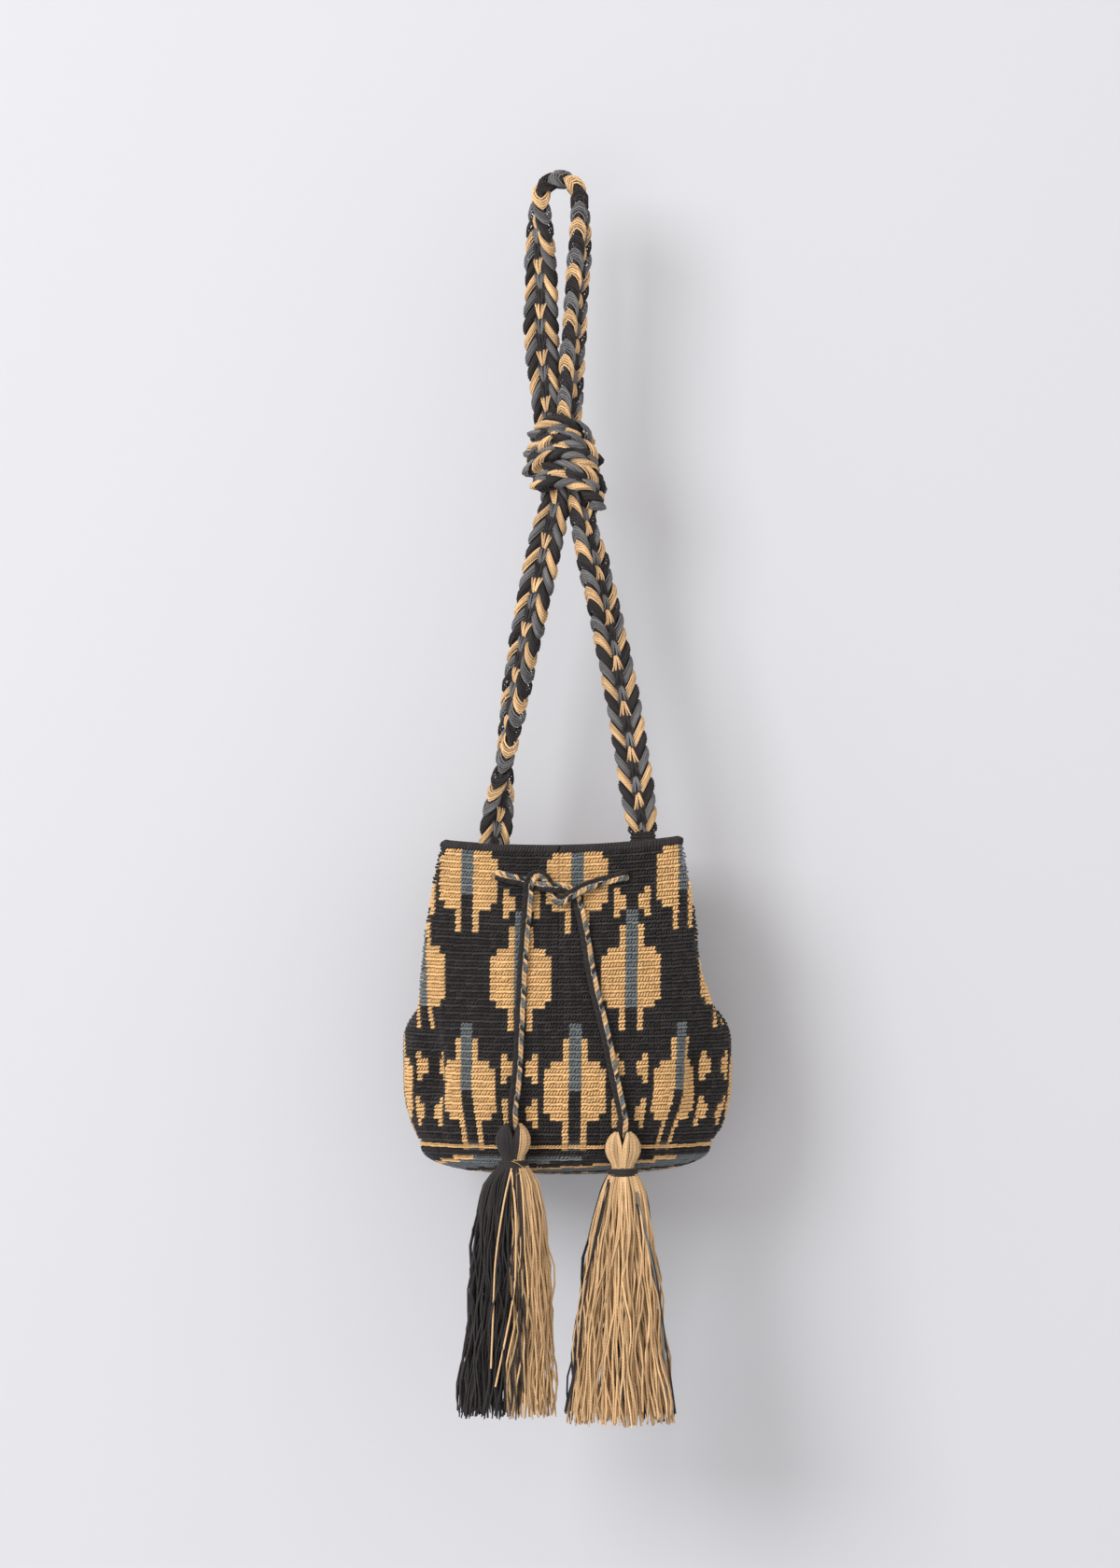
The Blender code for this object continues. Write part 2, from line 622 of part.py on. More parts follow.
def hank(name, side, half, collection, material):
    """One of the two hanks folded over the cord's end: half a head and half a skirt, fluted by its strands."""
    head = tassel_head(side)
    floor = SWING_DEPTH + CLEFT
    distances = [0.0, SWING_DEPTH / 2, floor, floor + WRAP_EASE]
    distances += [HEAD_LENGTH * s for s in (0.50, 0.70, 0.88, 1.0, 1.12)]
    distances += [HEAD_LENGTH + SKIRT_LENGTH * s for s in (0.09, 0.20, 0.38, 0.60, 0.82, 1.0)]
    rings = []
    for number, along in enumerate(distances):
        wide, deep = tassel_outline(side, along)
        split = CLEFT if along <= floor else GAP / 2
        ring = []
        for i in range(FLUTES):
            around = math.pi * i / (FLUTES - 1) - math.pi / 2
            groove = FLUTE if i % 2 and along > HEAD_LENGTH else 0.0
            x = split + (wide - split - groove) * math.cos(around)
            y = (deep - groove) * math.sin(around)
            ragged = 0.0
            if number == len(distances) - 1:
                ragged = 0.006 * math.sin(i * 2.3 + side + half)
            ring.append(Vector((head.x + x * half, head.y + y, head.z - along + ragged)))
        rings.append(ring)
    return mesh_object(name, skin(rings), material, collection)


def neck_wrap(name, side, collection, material):
    """The yarn wound round a tassel's neck."""
    head = tassel_head(side)
    major = NECK_HALF + FLUTE / 2 + GAP + NECK_WRAP / 2
    bpy.ops.mesh.primitive_torus_add(
        major_segments=16, minor_segments=6, major_radius=major, minor_radius=NECK_WRAP / 2,
        location=(head.x, head.y, head.z - HEAD_LENGTH))
    obj = bpy.context.object
    obj.name = name
    obj.data.name = name
    obj.data.shade_smooth()
    obj.data.materials.append(material)
    for used in list(obj.users_collection):
        used.objects.unlink(obj)
    collection.objects.link(obj)
    return obj


def swing_point(name, side, pieces, collection):
    """An empty on a tassel's swing axis, carrying its pieces."""
    pivot = bpy.data.objects.new(name, None)
    pivot.location = tassel_pivot(side)
    collection.objects.link(pivot)
    bpy.context.view_layer.update()
    for piece in pieces:
        piece.parent = pivot
        piece.matrix_parent_inverse = pivot.matrix_world.inverted()
    return pivot


def main():
    """Builds the whole bag."""
    clear_scene()
    parts = new_collection("wayuu_mochila_bag")
    cutters = new_collection("cutters")
    black = yarn("black_yarn", BLACK)
    camel = yarn("camel_yarn", CAMEL)
    braid = yarn("braided_yarn", GREY)
    bag_body(parts, cutters, black)
    strap(parts, braid)
    strap_end("left_strap_end", 0, parts, black)
    strap_end("right_strap_end", 1, parts, black)
    drawstring(parts, black)
    left = [
        hank("left_tassel_black_hank", 0, -1, parts, black),
        hank("left_tassel_camel_hank", 0, 1, parts, camel),
        neck_wrap("left_tassel_neck_wrap", 0, parts, black),
    ]
    right = [
        hank("right_tassel_left_hank", 1, -1, parts, camel),
        hank("right_tassel_right_hank", 1, 1, parts, camel),
        neck_wrap("right_tassel_neck_wrap", 1, parts, black),
    ]
    swing_point("left_tassel_pivot", 0, left, parts)
    swing_point("right_tassel_pivot", 1, right, parts)


main()
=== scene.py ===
"""The looks of a wayuu mochila bag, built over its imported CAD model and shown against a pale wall.

The crocheted wall is made stitch by stitch, the strap and the drawstring yarn by yarn, and the tassels
strand by strand. Metres, +Z up, the front faces -Y.
"""

import logging
import math
from dataclasses import dataclass
from enum import Enum
from typing import Callable, Iterable, Sequence

import bpy
import numpy as np
from mathutils import Matrix, Vector

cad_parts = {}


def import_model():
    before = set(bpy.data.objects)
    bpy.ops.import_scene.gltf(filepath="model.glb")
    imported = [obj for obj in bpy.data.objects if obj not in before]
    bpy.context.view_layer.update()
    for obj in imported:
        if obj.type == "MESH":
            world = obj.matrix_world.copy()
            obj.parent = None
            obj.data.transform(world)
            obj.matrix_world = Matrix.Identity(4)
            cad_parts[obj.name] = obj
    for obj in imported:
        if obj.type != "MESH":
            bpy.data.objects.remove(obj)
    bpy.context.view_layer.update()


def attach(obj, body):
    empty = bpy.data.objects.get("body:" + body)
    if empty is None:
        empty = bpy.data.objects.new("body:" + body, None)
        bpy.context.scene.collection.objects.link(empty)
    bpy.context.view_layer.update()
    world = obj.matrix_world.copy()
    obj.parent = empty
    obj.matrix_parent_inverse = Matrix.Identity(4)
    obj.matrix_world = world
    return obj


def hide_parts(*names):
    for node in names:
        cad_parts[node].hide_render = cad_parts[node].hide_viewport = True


LOG = logging.getLogger("mochila")
SEED = 11
Row = Sequence[float]
Triple = tuple[float, float, float]
Lines = list[tuple[list[Vector], list[float], float]]  # each yarn's points, thickness at each, and tint
Placed = tuple[Vector, Matrix, Vector]  # a stitch's place, turn and size


class Shade(Enum):
    """The yarns' colours, as linear base colours."""

    BLACK = (0.0336, 0.0286, 0.0296)
    CAMEL = (0.815, 0.505, 0.228)
    SAND = (0.760, 0.490, 0.256)
    GREY = (0.170, 0.188, 0.196)
    ASH = (0.168, 0.164, 0.168)
    GOLD = (0.720, 0.480, 0.180)


class Side(Enum):
    """Which of the two tassels, strap ends or lobes."""

    LEFT = 0
    RIGHT = 1


def smooth_step(value: float) -> float:
    """0 to 1 with level ends."""
    t = min(max(value, 0.0), 1.0)
    return t * t * (3.0 - 2.0 * t)


def spline_at(rows: Sequence[Row], position: float) -> list[float]:
    """Catmull-Rom reading of rows.

    Args:
        rows: stations whose first value is the position.
        position: where to read.

    Returns:
        The other values at that position.
    """
    last = len(rows) - 1
    i = 0
    while i < last - 1 and rows[i + 1][0] < position:
        i += 1
    before, start, end, after = (rows[min(max(k, 0), last)] for k in (i - 1, i, i + 1, i + 2))
    t = min(max((position - start[0]) / (end[0] - start[0]), 0.0), 1.0)
    values = []
    for a, b, c, d in zip(before[1:], start[1:], end[1:], after[1:]):
        curve = (2 * a - 5 * b + 4 * c - d) * t * t + (3 * b - a - 3 * c + d) * t ** 3
        values.append(0.5 * (2 * b + (c - a) * t + curve))
    return values


def even_path(points: Sequence[Row], step: float) -> list[list[float]]:
    """A Catmull-Rom curve through points, read at equal lengths.

    Args:
        points: rows of x, y, z and any further values.
        step: the length between two readings.

    Returns:
        Rows of the same kind.
    """
    rows = [(float(i), *p) for i, p in enumerate(points)]
    fine: list[list[float]] = []
    for i in range(len(points) - 1):
        count = max(2, round((Vector(points[i + 1][:3]) - Vector(points[i][:3])).length / step * 6))
        fine += [spline_at(rows, i + k / count) for k in range(count)]
    fine.append(list(points[-1]))
    table = np.array(fine)
    lengths = np.concatenate([[0.0], np.cumsum(np.linalg.norm(np.diff(table[:, :3], axis=0), axis=1))])
    wanted = np.linspace(0.0, lengths[-1], max(3, round(lengths[-1] / step)) + 1)
    return np.stack([np.interp(wanted, lengths, column) for column in table.T], axis=1).tolist()


class NodeMaker:
    """Adds nodes to one tree and wires them up."""

    def __init__(self, tree: bpy.types.NodeTree) -> None:
        """Starts on an empty tree."""
        self.tree = tree
        tree.nodes.clear()

    def add(self, kind: str, inputs: dict | None = None, **settings: object) -> bpy.types.Node:
        """A node with its settings and inputs.

        Args:
            kind: the node's type name.
            inputs: values or sockets by input name or number.
            settings: the node's own properties.

        Returns:
            The new node.
        """
        node = self.tree.nodes.new(kind)
        for name, value in settings.items():
            setattr(node, name, value)
        for key, value in (inputs or {}).items():
            if isinstance(value, bpy.types.NodeSocket):
                self.tree.links.new(value, node.inputs[key])
            else:
                node.inputs[key].default_value = value
        return node

    def math(self, operation: str, a: object, b: object = 0.0, c: object = 0.0) -> bpy.types.NodeSocket:
        """The result of a math node on values or sockets."""
        return self.add("ShaderNodeMath", {0: a, 1: b, 2: c}, operation=operation).outputs[0]

    def noise(self, place: bpy.types.NodeSocket, scale: float, detail: float) -> bpy.types.NodeSocket:
        """The level of a noise texture at a place."""
        inputs = {"Vector": place, "Scale": scale, "Detail": detail}
        return self.add("ShaderNodeTexNoise", inputs).outputs["Fac"]

    def attribute(self, name: str, kind: str = "FLOAT") -> bpy.types.NodeSocket:
        """A named attribute of the geometry that a group works on."""
        return self.add("GeometryNodeInputNamedAttribute", {"Name": name}, data_type=kind).outputs[0]

    def store(self, geometry: object, name: str, kind: str, value: object) -> bpy.types.NodeSocket:
        """The geometry with a named point attribute stored on it.

        Args:
            geometry: what it is stored on.
            name: the attribute's name.
            kind: its data type.
            value: the socket that gives it.

        Returns:
            The geometry's socket.
        """
        inputs = {"Geometry": geometry, "Name": name, "Value": value}
        node = self.add("GeometryNodeStoreNamedAttribute", inputs, data_type=kind, domain="POINT")
        return node.outputs[0]

    def dress(self, geometry: bpy.types.NodeSocket, material: bpy.types.NodeSocket) -> None:
        """Ends a group with the geometry, smooth and in its material.

        Args:
            geometry: what the group has made.
            material: the material's socket.
        """
        smooth = self.add("GeometryNodeSetShadeSmooth", {0: geometry}).outputs[0]
        dressed = self.add("GeometryNodeSetMaterial", {"Geometry": smooth, "Material": material})
        self.add("NodeGroupOutput", {0: dressed.outputs[0]})


def node_material(name: str) -> tuple[bpy.types.Material, NodeMaker]:
    """An empty node material, and the maker that fills it.

    Args:
        name: the material's name.

    Returns:
        The material and its maker.
    """
    material = bpy.data.materials.new(name)
    material.use_nodes = True
    return material, NodeMaker(material.node_tree)


def node_group(name: str, sockets: dict[str, str], result: str) -> tuple[bpy.types.NodeTree, NodeMaker]:
    """An empty Geometry Nodes group with named inputs and one output of geometry.

    Args:
        name: the group's name.
        sockets: the kind of each input by its name.
        result: the output's name.

    Returns:
        The group, and the maker that fills it.
    """
    group = bpy.data.node_groups.new(name, "GeometryNodeTree")
    for socket, kind in sockets.items():
        group.interface.new_socket(socket, in_out="INPUT", socket_type=f"NodeSocket{kind}")
    group.interface.new_socket(result, in_out="OUTPUT", socket_type="NodeSocketGeometry")
    return group, NodeMaker(group)


@dataclass(frozen=True)
class YarnFinish:
    """A plied yarn: twisted plies in relief with painted shade in their grooves, a soft fuzz, and a little
    change of tone along it.
    """

    name: str
    shade: Shade
    ply_pitch: float = 0.0042
    plies: int = 2
    relief: float = 0.55
    relief_depth: float = 0.00022
    # painted shade: how much darker the colour is made in the grooves between the plies
    groove_shade: float = 0.30
    fibre: Triple = (1900.0, 0.9, 0.55)  # the noise's scale, its share, and what is added to it
    cloud: Triple = (120.0, 0.4, 0.8)
    roughness: float = 0.82
    specular: float = 0.3
    sheen: float = 0.22
    sheen_roughness: float = 0.45
    metallic: float = 0.0

    def material(self) -> bpy.types.Material:
        """The finish as a material that reads the pieces' own yarn and tint attributes.

        Returns:
            The material.
        """
        material, make = node_material(self.name)
        yarn = make.add("ShaderNodeAttribute", attribute_name="yarn")
        along, across, up = make.add("ShaderNodeSeparateXYZ", {0: yarn.outputs["Vector"]}).outputs
        turn = make.math("MULTIPLY", make.math("ARCTAN2", up, across), float(self.plies))
        phase = make.math("MULTIPLY_ADD", along, 2 * math.pi / self.ply_pitch * self.plies, turn)
        ply = make.math("MULTIPLY_ADD", make.math("SINE", phase), 0.5, 0.5)
        place = make.add("ShaderNodeTexCoord").outputs["Object"]
        fibre = make.noise(place, self.fibre[0], 3.0)
        cloud = make.noise(place, self.cloud[0], 2.0)
        tint = make.add("ShaderNodeAttribute", attribute_name="tint").outputs["Fac"]
        # painted shade: the colour is darkened in the grooves between the plies
        level = make.math("MULTIPLY_ADD", ply, self.groove_shade, 1.0 - self.groove_shade)
        changes = (
            make.math("MULTIPLY_ADD", fibre, *self.fibre[1:]),
            make.math("MULTIPLY_ADD", cloud, *self.cloud[1:]), make.math("ADD", tint, 1.0))
        for change in changes:
            level = make.math("MULTIPLY", level, change)
        base = make.add("ShaderNodeVectorMath", {0: self.shade.value, 3: level}, operation="SCALE")
        bump = make.add("ShaderNodeBump", {
            "Height": make.math("MULTIPLY_ADD", fibre, 0.5, ply), "Strength": self.relief,
            "Distance": self.relief_depth})
        bright = tuple(min(1.0, c * 1.6 + 0.05) for c in self.shade.value)
        shader = make.add("ShaderNodeBsdfPrincipled", {
            "Base Color": base.outputs[0], "Roughness": self.roughness, "Metallic": self.metallic,
            "Normal": bump.outputs[0], "Sheen Weight": self.sheen, "Sheen Roughness": self.sheen_roughness,
            "Sheen Tint": (*bright, 1.0), "Specular IOR Level": self.specular})
        make.add("ShaderNodeOutputMaterial", {"Surface": shader.outputs[0]})
        return material


@dataclass(frozen=True)
class ClothFinish:
    """What lies between the stitches: each cell takes the colour of the stitch over it, darkened by painted
    shade.
    """

    name: str
    row_height: float
    stitch_width: float
    slant: float = 0.6
    # painted shade: the stitches' colours are darkened here, and more in the knit's grooves
    knit_shade: float = 0.14
    level: float = 0.48
    fibre_scale: float = 1500.0
    relief: float = 0.8
    relief_depth: float = 0.0006

    def material(self) -> bpy.types.Material:
        """The finish as a material that reads the cell colours and the cloth coordinates.

        Returns:
            The material.
        """
        material, make = node_material(self.name)
        cell = make.add("ShaderNodeAttribute", attribute_name="cell").outputs["Color"]
        cloth = make.add("ShaderNodeAttribute", attribute_name="cloth").outputs["Vector"]
        across, up, _ = make.add("ShaderNodeSeparateXYZ", {0: cloth}).outputs
        rows = make.math("SINE", make.math("MULTIPLY", up, 2 * math.pi / self.row_height))
        slant = make.math("MULTIPLY_ADD", up, self.slant, across)
        posts = make.math("SINE", make.math("MULTIPLY", slant, 4 * math.pi / self.stitch_width))
        knit = make.math("MULTIPLY_ADD", posts, 0.5, rows)
        fibre = make.noise(make.add("ShaderNodeTexCoord").outputs["Object"], self.fibre_scale, 3.0)
        bump = make.add("ShaderNodeBump", {
            "Height": make.math("MULTIPLY_ADD", fibre, 0.6, knit), "Strength": self.relief,
            "Distance": self.relief_depth})
        # painted shade: between the stitches the colour is darkened, most in the knit's grooves
        level = make.math("MULTIPLY_ADD", knit, self.knit_shade, self.level)
        base = make.add("ShaderNodeVectorMath", {0: cell, 3: level}, operation="SCALE")
        shader = make.add("ShaderNodeBsdfPrincipled", {
            "Base Color": base.outputs[0], "Roughness": 0.9, "Normal": bump.outputs[0],
            "Sheen Weight": 0.15, "Specular IOR Level": 0.2})
        make.add("ShaderNodeOutputMaterial", {"Surface": shader.outputs[0]})
        return material


class Yarns:
    """One material for each colour, made when it is first asked for."""

    def __init__(self) -> None:
        """Starts with none made."""
        self.made: dict[Shade, bpy.types.Material] = {}

    def of(self, shade: Shade) -> bpy.types.Material:
        """The material of a colour.

        Args:
            shade: the colour.

        Returns:
            The material, the same one each time.
        """
        if shade not in self.made:
            metal = {"roughness": 0.35, "metallic": 0.9} if shade is Shade.GOLD else {}
            sheen = 0.30 if shade is Shade.BLACK else 0.22
            finish = YarnFinish(f"{shade.name.lower()}_yarn", shade, sheen=sheen, **metal)
            self.made[shade] = finish.material()
        return self.made[shade]


def new_mesh(
    name: str, points: Iterable[Row], faces: Iterable[Sequence[int]] = (),
    edges: Iterable[Sequence[int]] = (),
) -> bpy.types.Mesh:
    """A mesh from its points, faces and edges.

    Args:
        name: the mesh's name.
        points: its points.
        faces: the numbers of each face's points.
        edges: the numbers of each loose edge's points.

    Returns:
        The mesh.
    """
    mesh = bpy.data.meshes.new(name)
    mesh.from_pydata(list(points), list(edges), list(faces))
    return mesh


def new_object(name: str, mesh: bpy.types.Mesh) -> bpy.types.Object:
    """An object on a mesh, linked to the scene.

    Args:
        name: the object's name.
        mesh: its mesh.

    Returns:
        The object.
    """
    obj = bpy.data.objects.new(name, mesh)
    bpy.context.scene.collection.objects.link(obj)
    return obj


def baked(
    name: str, points: bpy.types.Mesh, group: bpy.types.NodeTree, values: dict[str, object]
) -> bpy.types.Object:
    """Runs a Geometry Nodes group once and keeps its result as a plain mesh at the origin.

    Args:
        name: the piece's name.
        points: the mesh that the group starts from.
        group: the node group.
        values: the group's inputs by name.

    Returns:
        The piece, without a modifier.
    """
    source = new_object(name + "_source", points)
    modifier = source.modifiers.new("nodes", "NODES")
    modifier.node_group = group
    for item in group.interface.items_tree:
        if item.in_out == "INPUT" and item.name in values:
            modifier[item.identifier] = values[item.name]
    graph = bpy.context.evaluated_depsgraph_get()
    mesh = bpy.data.meshes.new_from_object(source.evaluated_get(graph))
    mesh.name = name
    bpy.data.objects.remove(source, do_unlink=True)
    piece = new_object(name, mesh)
    LOG.info("%s: %d faces", name, len(mesh.polygons))
    return piece


class TubeNodes:
    """Geometry Nodes that lay a round yarn along every polyline of a mesh."""

    def __init__(self) -> None:
        """Builds the group."""
        sockets = {"Lines": "Geometry", "Radius": "Float", "Sides": "Int", "Material": "Material"}
        self.group, make = node_group("yarn_along_lines", sockets, "Yarn")
        given = make.add("NodeGroupInput").outputs
        curve = make.add("GeometryNodeMeshToCurve", {0: given["Lines"]}).outputs[0]
        length = make.add("GeometryNodeSplineParameter").outputs["Length"]
        curve = make.store(curve, "along", "FLOAT", length)
        radius = make.math("MULTIPLY", make.attribute("thick"), given["Radius"])
        circle = make.add("GeometryNodeCurvePrimitiveCircle", {"Resolution": given["Sides"], "Radius": 1.0})
        factor = make.add("GeometryNodeSplineParameter").outputs["Factor"]
        ring = make.store(circle.outputs[0], "around", "FLOAT", factor)
        tube = make.add("GeometryNodeCurveToMesh", {
            "Curve": curve, "Profile Curve": ring, "Scale": radius, "Fill Caps": True})
        angle = make.math("MULTIPLY", make.attribute("around"), 2 * math.pi)
        yarn = make.add("ShaderNodeCombineXYZ", {
            0: make.attribute("along"), 1: make.math("COSINE", angle), 2: make.math("SINE", angle)})
        mesh = make.store(tube.outputs[0], "yarn", "FLOAT_VECTOR", yarn.outputs[0])
        make.dress(mesh, given["Material"])

    def lay(
        self, name: str, lines: Lines, radius: float, material: bpy.types.Material, sides: int = 5
    ) -> bpy.types.Object:
        """Lays yarn along lines.

        Args:
            name: the piece's name.
            lines: for each yarn its points, its thickness at each point and its tint.
            radius: the yarn's radius where its thickness is 1.
            material: its finish.
            sides: the number of sides of its cross-section.

        Returns:
            The piece.
        """
        points = [p for line in lines for p in line[0]]
        edges = []
        start = 0
        for line in lines:
            edges += [(start + i, start + i + 1) for i in range(len(line[0]) - 1)]
            start += len(line[0])
        mesh = new_mesh(name + "_lines", points, edges=edges)
        thick = [t for line in lines for t in line[1]]
        tint = [line[2] for line in lines for _ in line[0]]
        for attribute, values in (("thick", thick), ("tint", tint)):
            mesh.attributes.new(attribute, "FLOAT", "POINT").data.foreach_set("value", values)
        inputs = {"Radius": radius, "Sides": sides, "Material": material}
        return baked(name, mesh, self.group, inputs)

    def wind(
        self, name: str, points: list[Vector], radius: float, material: bpy.types.Material, sides: int
    ) -> bpy.types.Object:
        """Lays a single yarn of even thickness along points.

        Args:
            name: the piece's name.
            points: the yarn's course.
            radius: its radius.
            material: its finish.
            sides: the number of sides of its cross-section.

        Returns:
            The piece.
        """
        return self.lay(name, [(points, [1.0] * len(points), 0.0)], radius, material, sides)


class StitchNodes:
    """Geometry Nodes that set a stitch on every point, turned and sized as the point says."""

    def __init__(self) -> None:
        """Builds the group."""
        sockets = {"Points": "Geometry", "Stitch": "Object", "Seed": "Int", "Unevenness": "Float",
                   "Material": "Material"}
        self.group, make = node_group("stitches_on_points", sockets, "Stitches")
        given = make.add("NodeGroupInput").outputs
        shape = make.add("GeometryNodeObjectInfo", {"Object": given["Stitch"]}).outputs["Geometry"]
        low = make.math("SUBTRACT", 1.0, given["Unevenness"])
        high = make.math("ADD", 1.0, given["Unevenness"])
        vary = make.add(
            "FunctionNodeRandomValue", {0: low, 1: high, "Seed": given["Seed"]}, data_type="FLOAT_VECTOR")
        size = make.attribute("size", "FLOAT_VECTOR")
        scale = make.add("ShaderNodeVectorMath", {0: size, 1: vary.outputs[0]}, operation="MULTIPLY")
        turn = make.add("FunctionNodeEulerToRotation", {0: make.attribute("turn", "FLOAT_VECTOR")})
        placed = make.add("GeometryNodeInstanceOnPoints", {
            "Points": given["Points"], "Instance": shape, "Rotation": turn.outputs[0],
            "Scale": scale.outputs[0]})
        real = make.add("GeometryNodeRealizeInstances", {0: placed.outputs[0]})
        make.dress(real.outputs[0], given["Material"])


@dataclass(frozen=True)
class StitchShape:
    """One crochet stitch seen from outside: two slanted loops over a smooth rope-like strand."""

    width: float = 0.00413
    strand: Triple = (0.00278, 0.00100, 0.00122)
    strand_place: Triple = (0.0, -0.00126, 0.0002)
    strand_slant: float = math.radians(5)
    loop: Triple = (0.00158, 0.00070, 0.00088)
    loop_shares: tuple[float, float] = (-0.245, 0.255)
    loop_high: float = 0.00130
    loop_out: float = 0.0003
    loop_slant: float = math.radians(52)
    fullness: float = 0.70
    girth: float = 0.92

    def lozenge(
        self, centre: Triple, half: Triple, slant: float, sides: int = 5
    ) -> tuple[list[Vector], list[tuple[int, ...]], list[Triple]]:
        """A plump closed spindle.

        Args:
            centre: its middle.
            half: half its length, its width and its height.
            slant: how far it is turned about the outward axis.
            sides: the number of sides.

        Returns:
            Points, faces and yarn coordinates.
        """
        turn = Matrix.Rotation(slant, 3, "Z")
        points, yarn = [], []
        stations = ((-1.0, 0.0), (-self.fullness, self.girth), (self.fullness, self.girth), (1.0, 0.0))
        for x, radius in stations:
            for i in range(sides if radius else 1):
                around = 2 * math.pi * i / sides
                c, s = math.cos(around), math.sin(around)
                local = Vector((x * half[0], radius * half[1] * c, radius * half[2] * s))
                points.append(turn @ local + Vector(centre))
                yarn.append((x * half[0], c, s))
        faces: list[tuple[int, ...]] = []
        last = len(points) - 1
        for i in range(sides):
            j = (i + 1) % sides
            faces.append((0, 1 + j, 1 + i))
            faces.append((1 + i, 1 + j, 1 + sides + j, 1 + sides + i))
            faces.append((1 + sides + i, 1 + sides + j, last))
        return points, faces, yarn

    def build(self) -> bpy.types.Object:
        """The stitch as an object that the nodes copy.

        Returns:
            The object, which is taken away after use.
        """
        parts = [self.lozenge(self.strand_place, self.strand, self.strand_slant)]
        for share in self.loop_shares:
            centre = (share * self.width, self.loop_high, self.loop_out)
            parts.append(self.lozenge(centre, self.loop, self.loop_slant))
        points, faces, yarn = [], [], []
        for some_points, some_faces, some_yarn in parts:
            faces += [tuple(i + len(points) for i in face) for face in some_faces]
            points += some_points
            yarn += some_yarn
        mesh = new_mesh("stitch", points, faces)
        mesh.attributes.new("yarn", "FLOAT_VECTOR", "POINT").data.foreach_set("vector", np.ravel(yarn))
        return new_object("stitch", mesh)


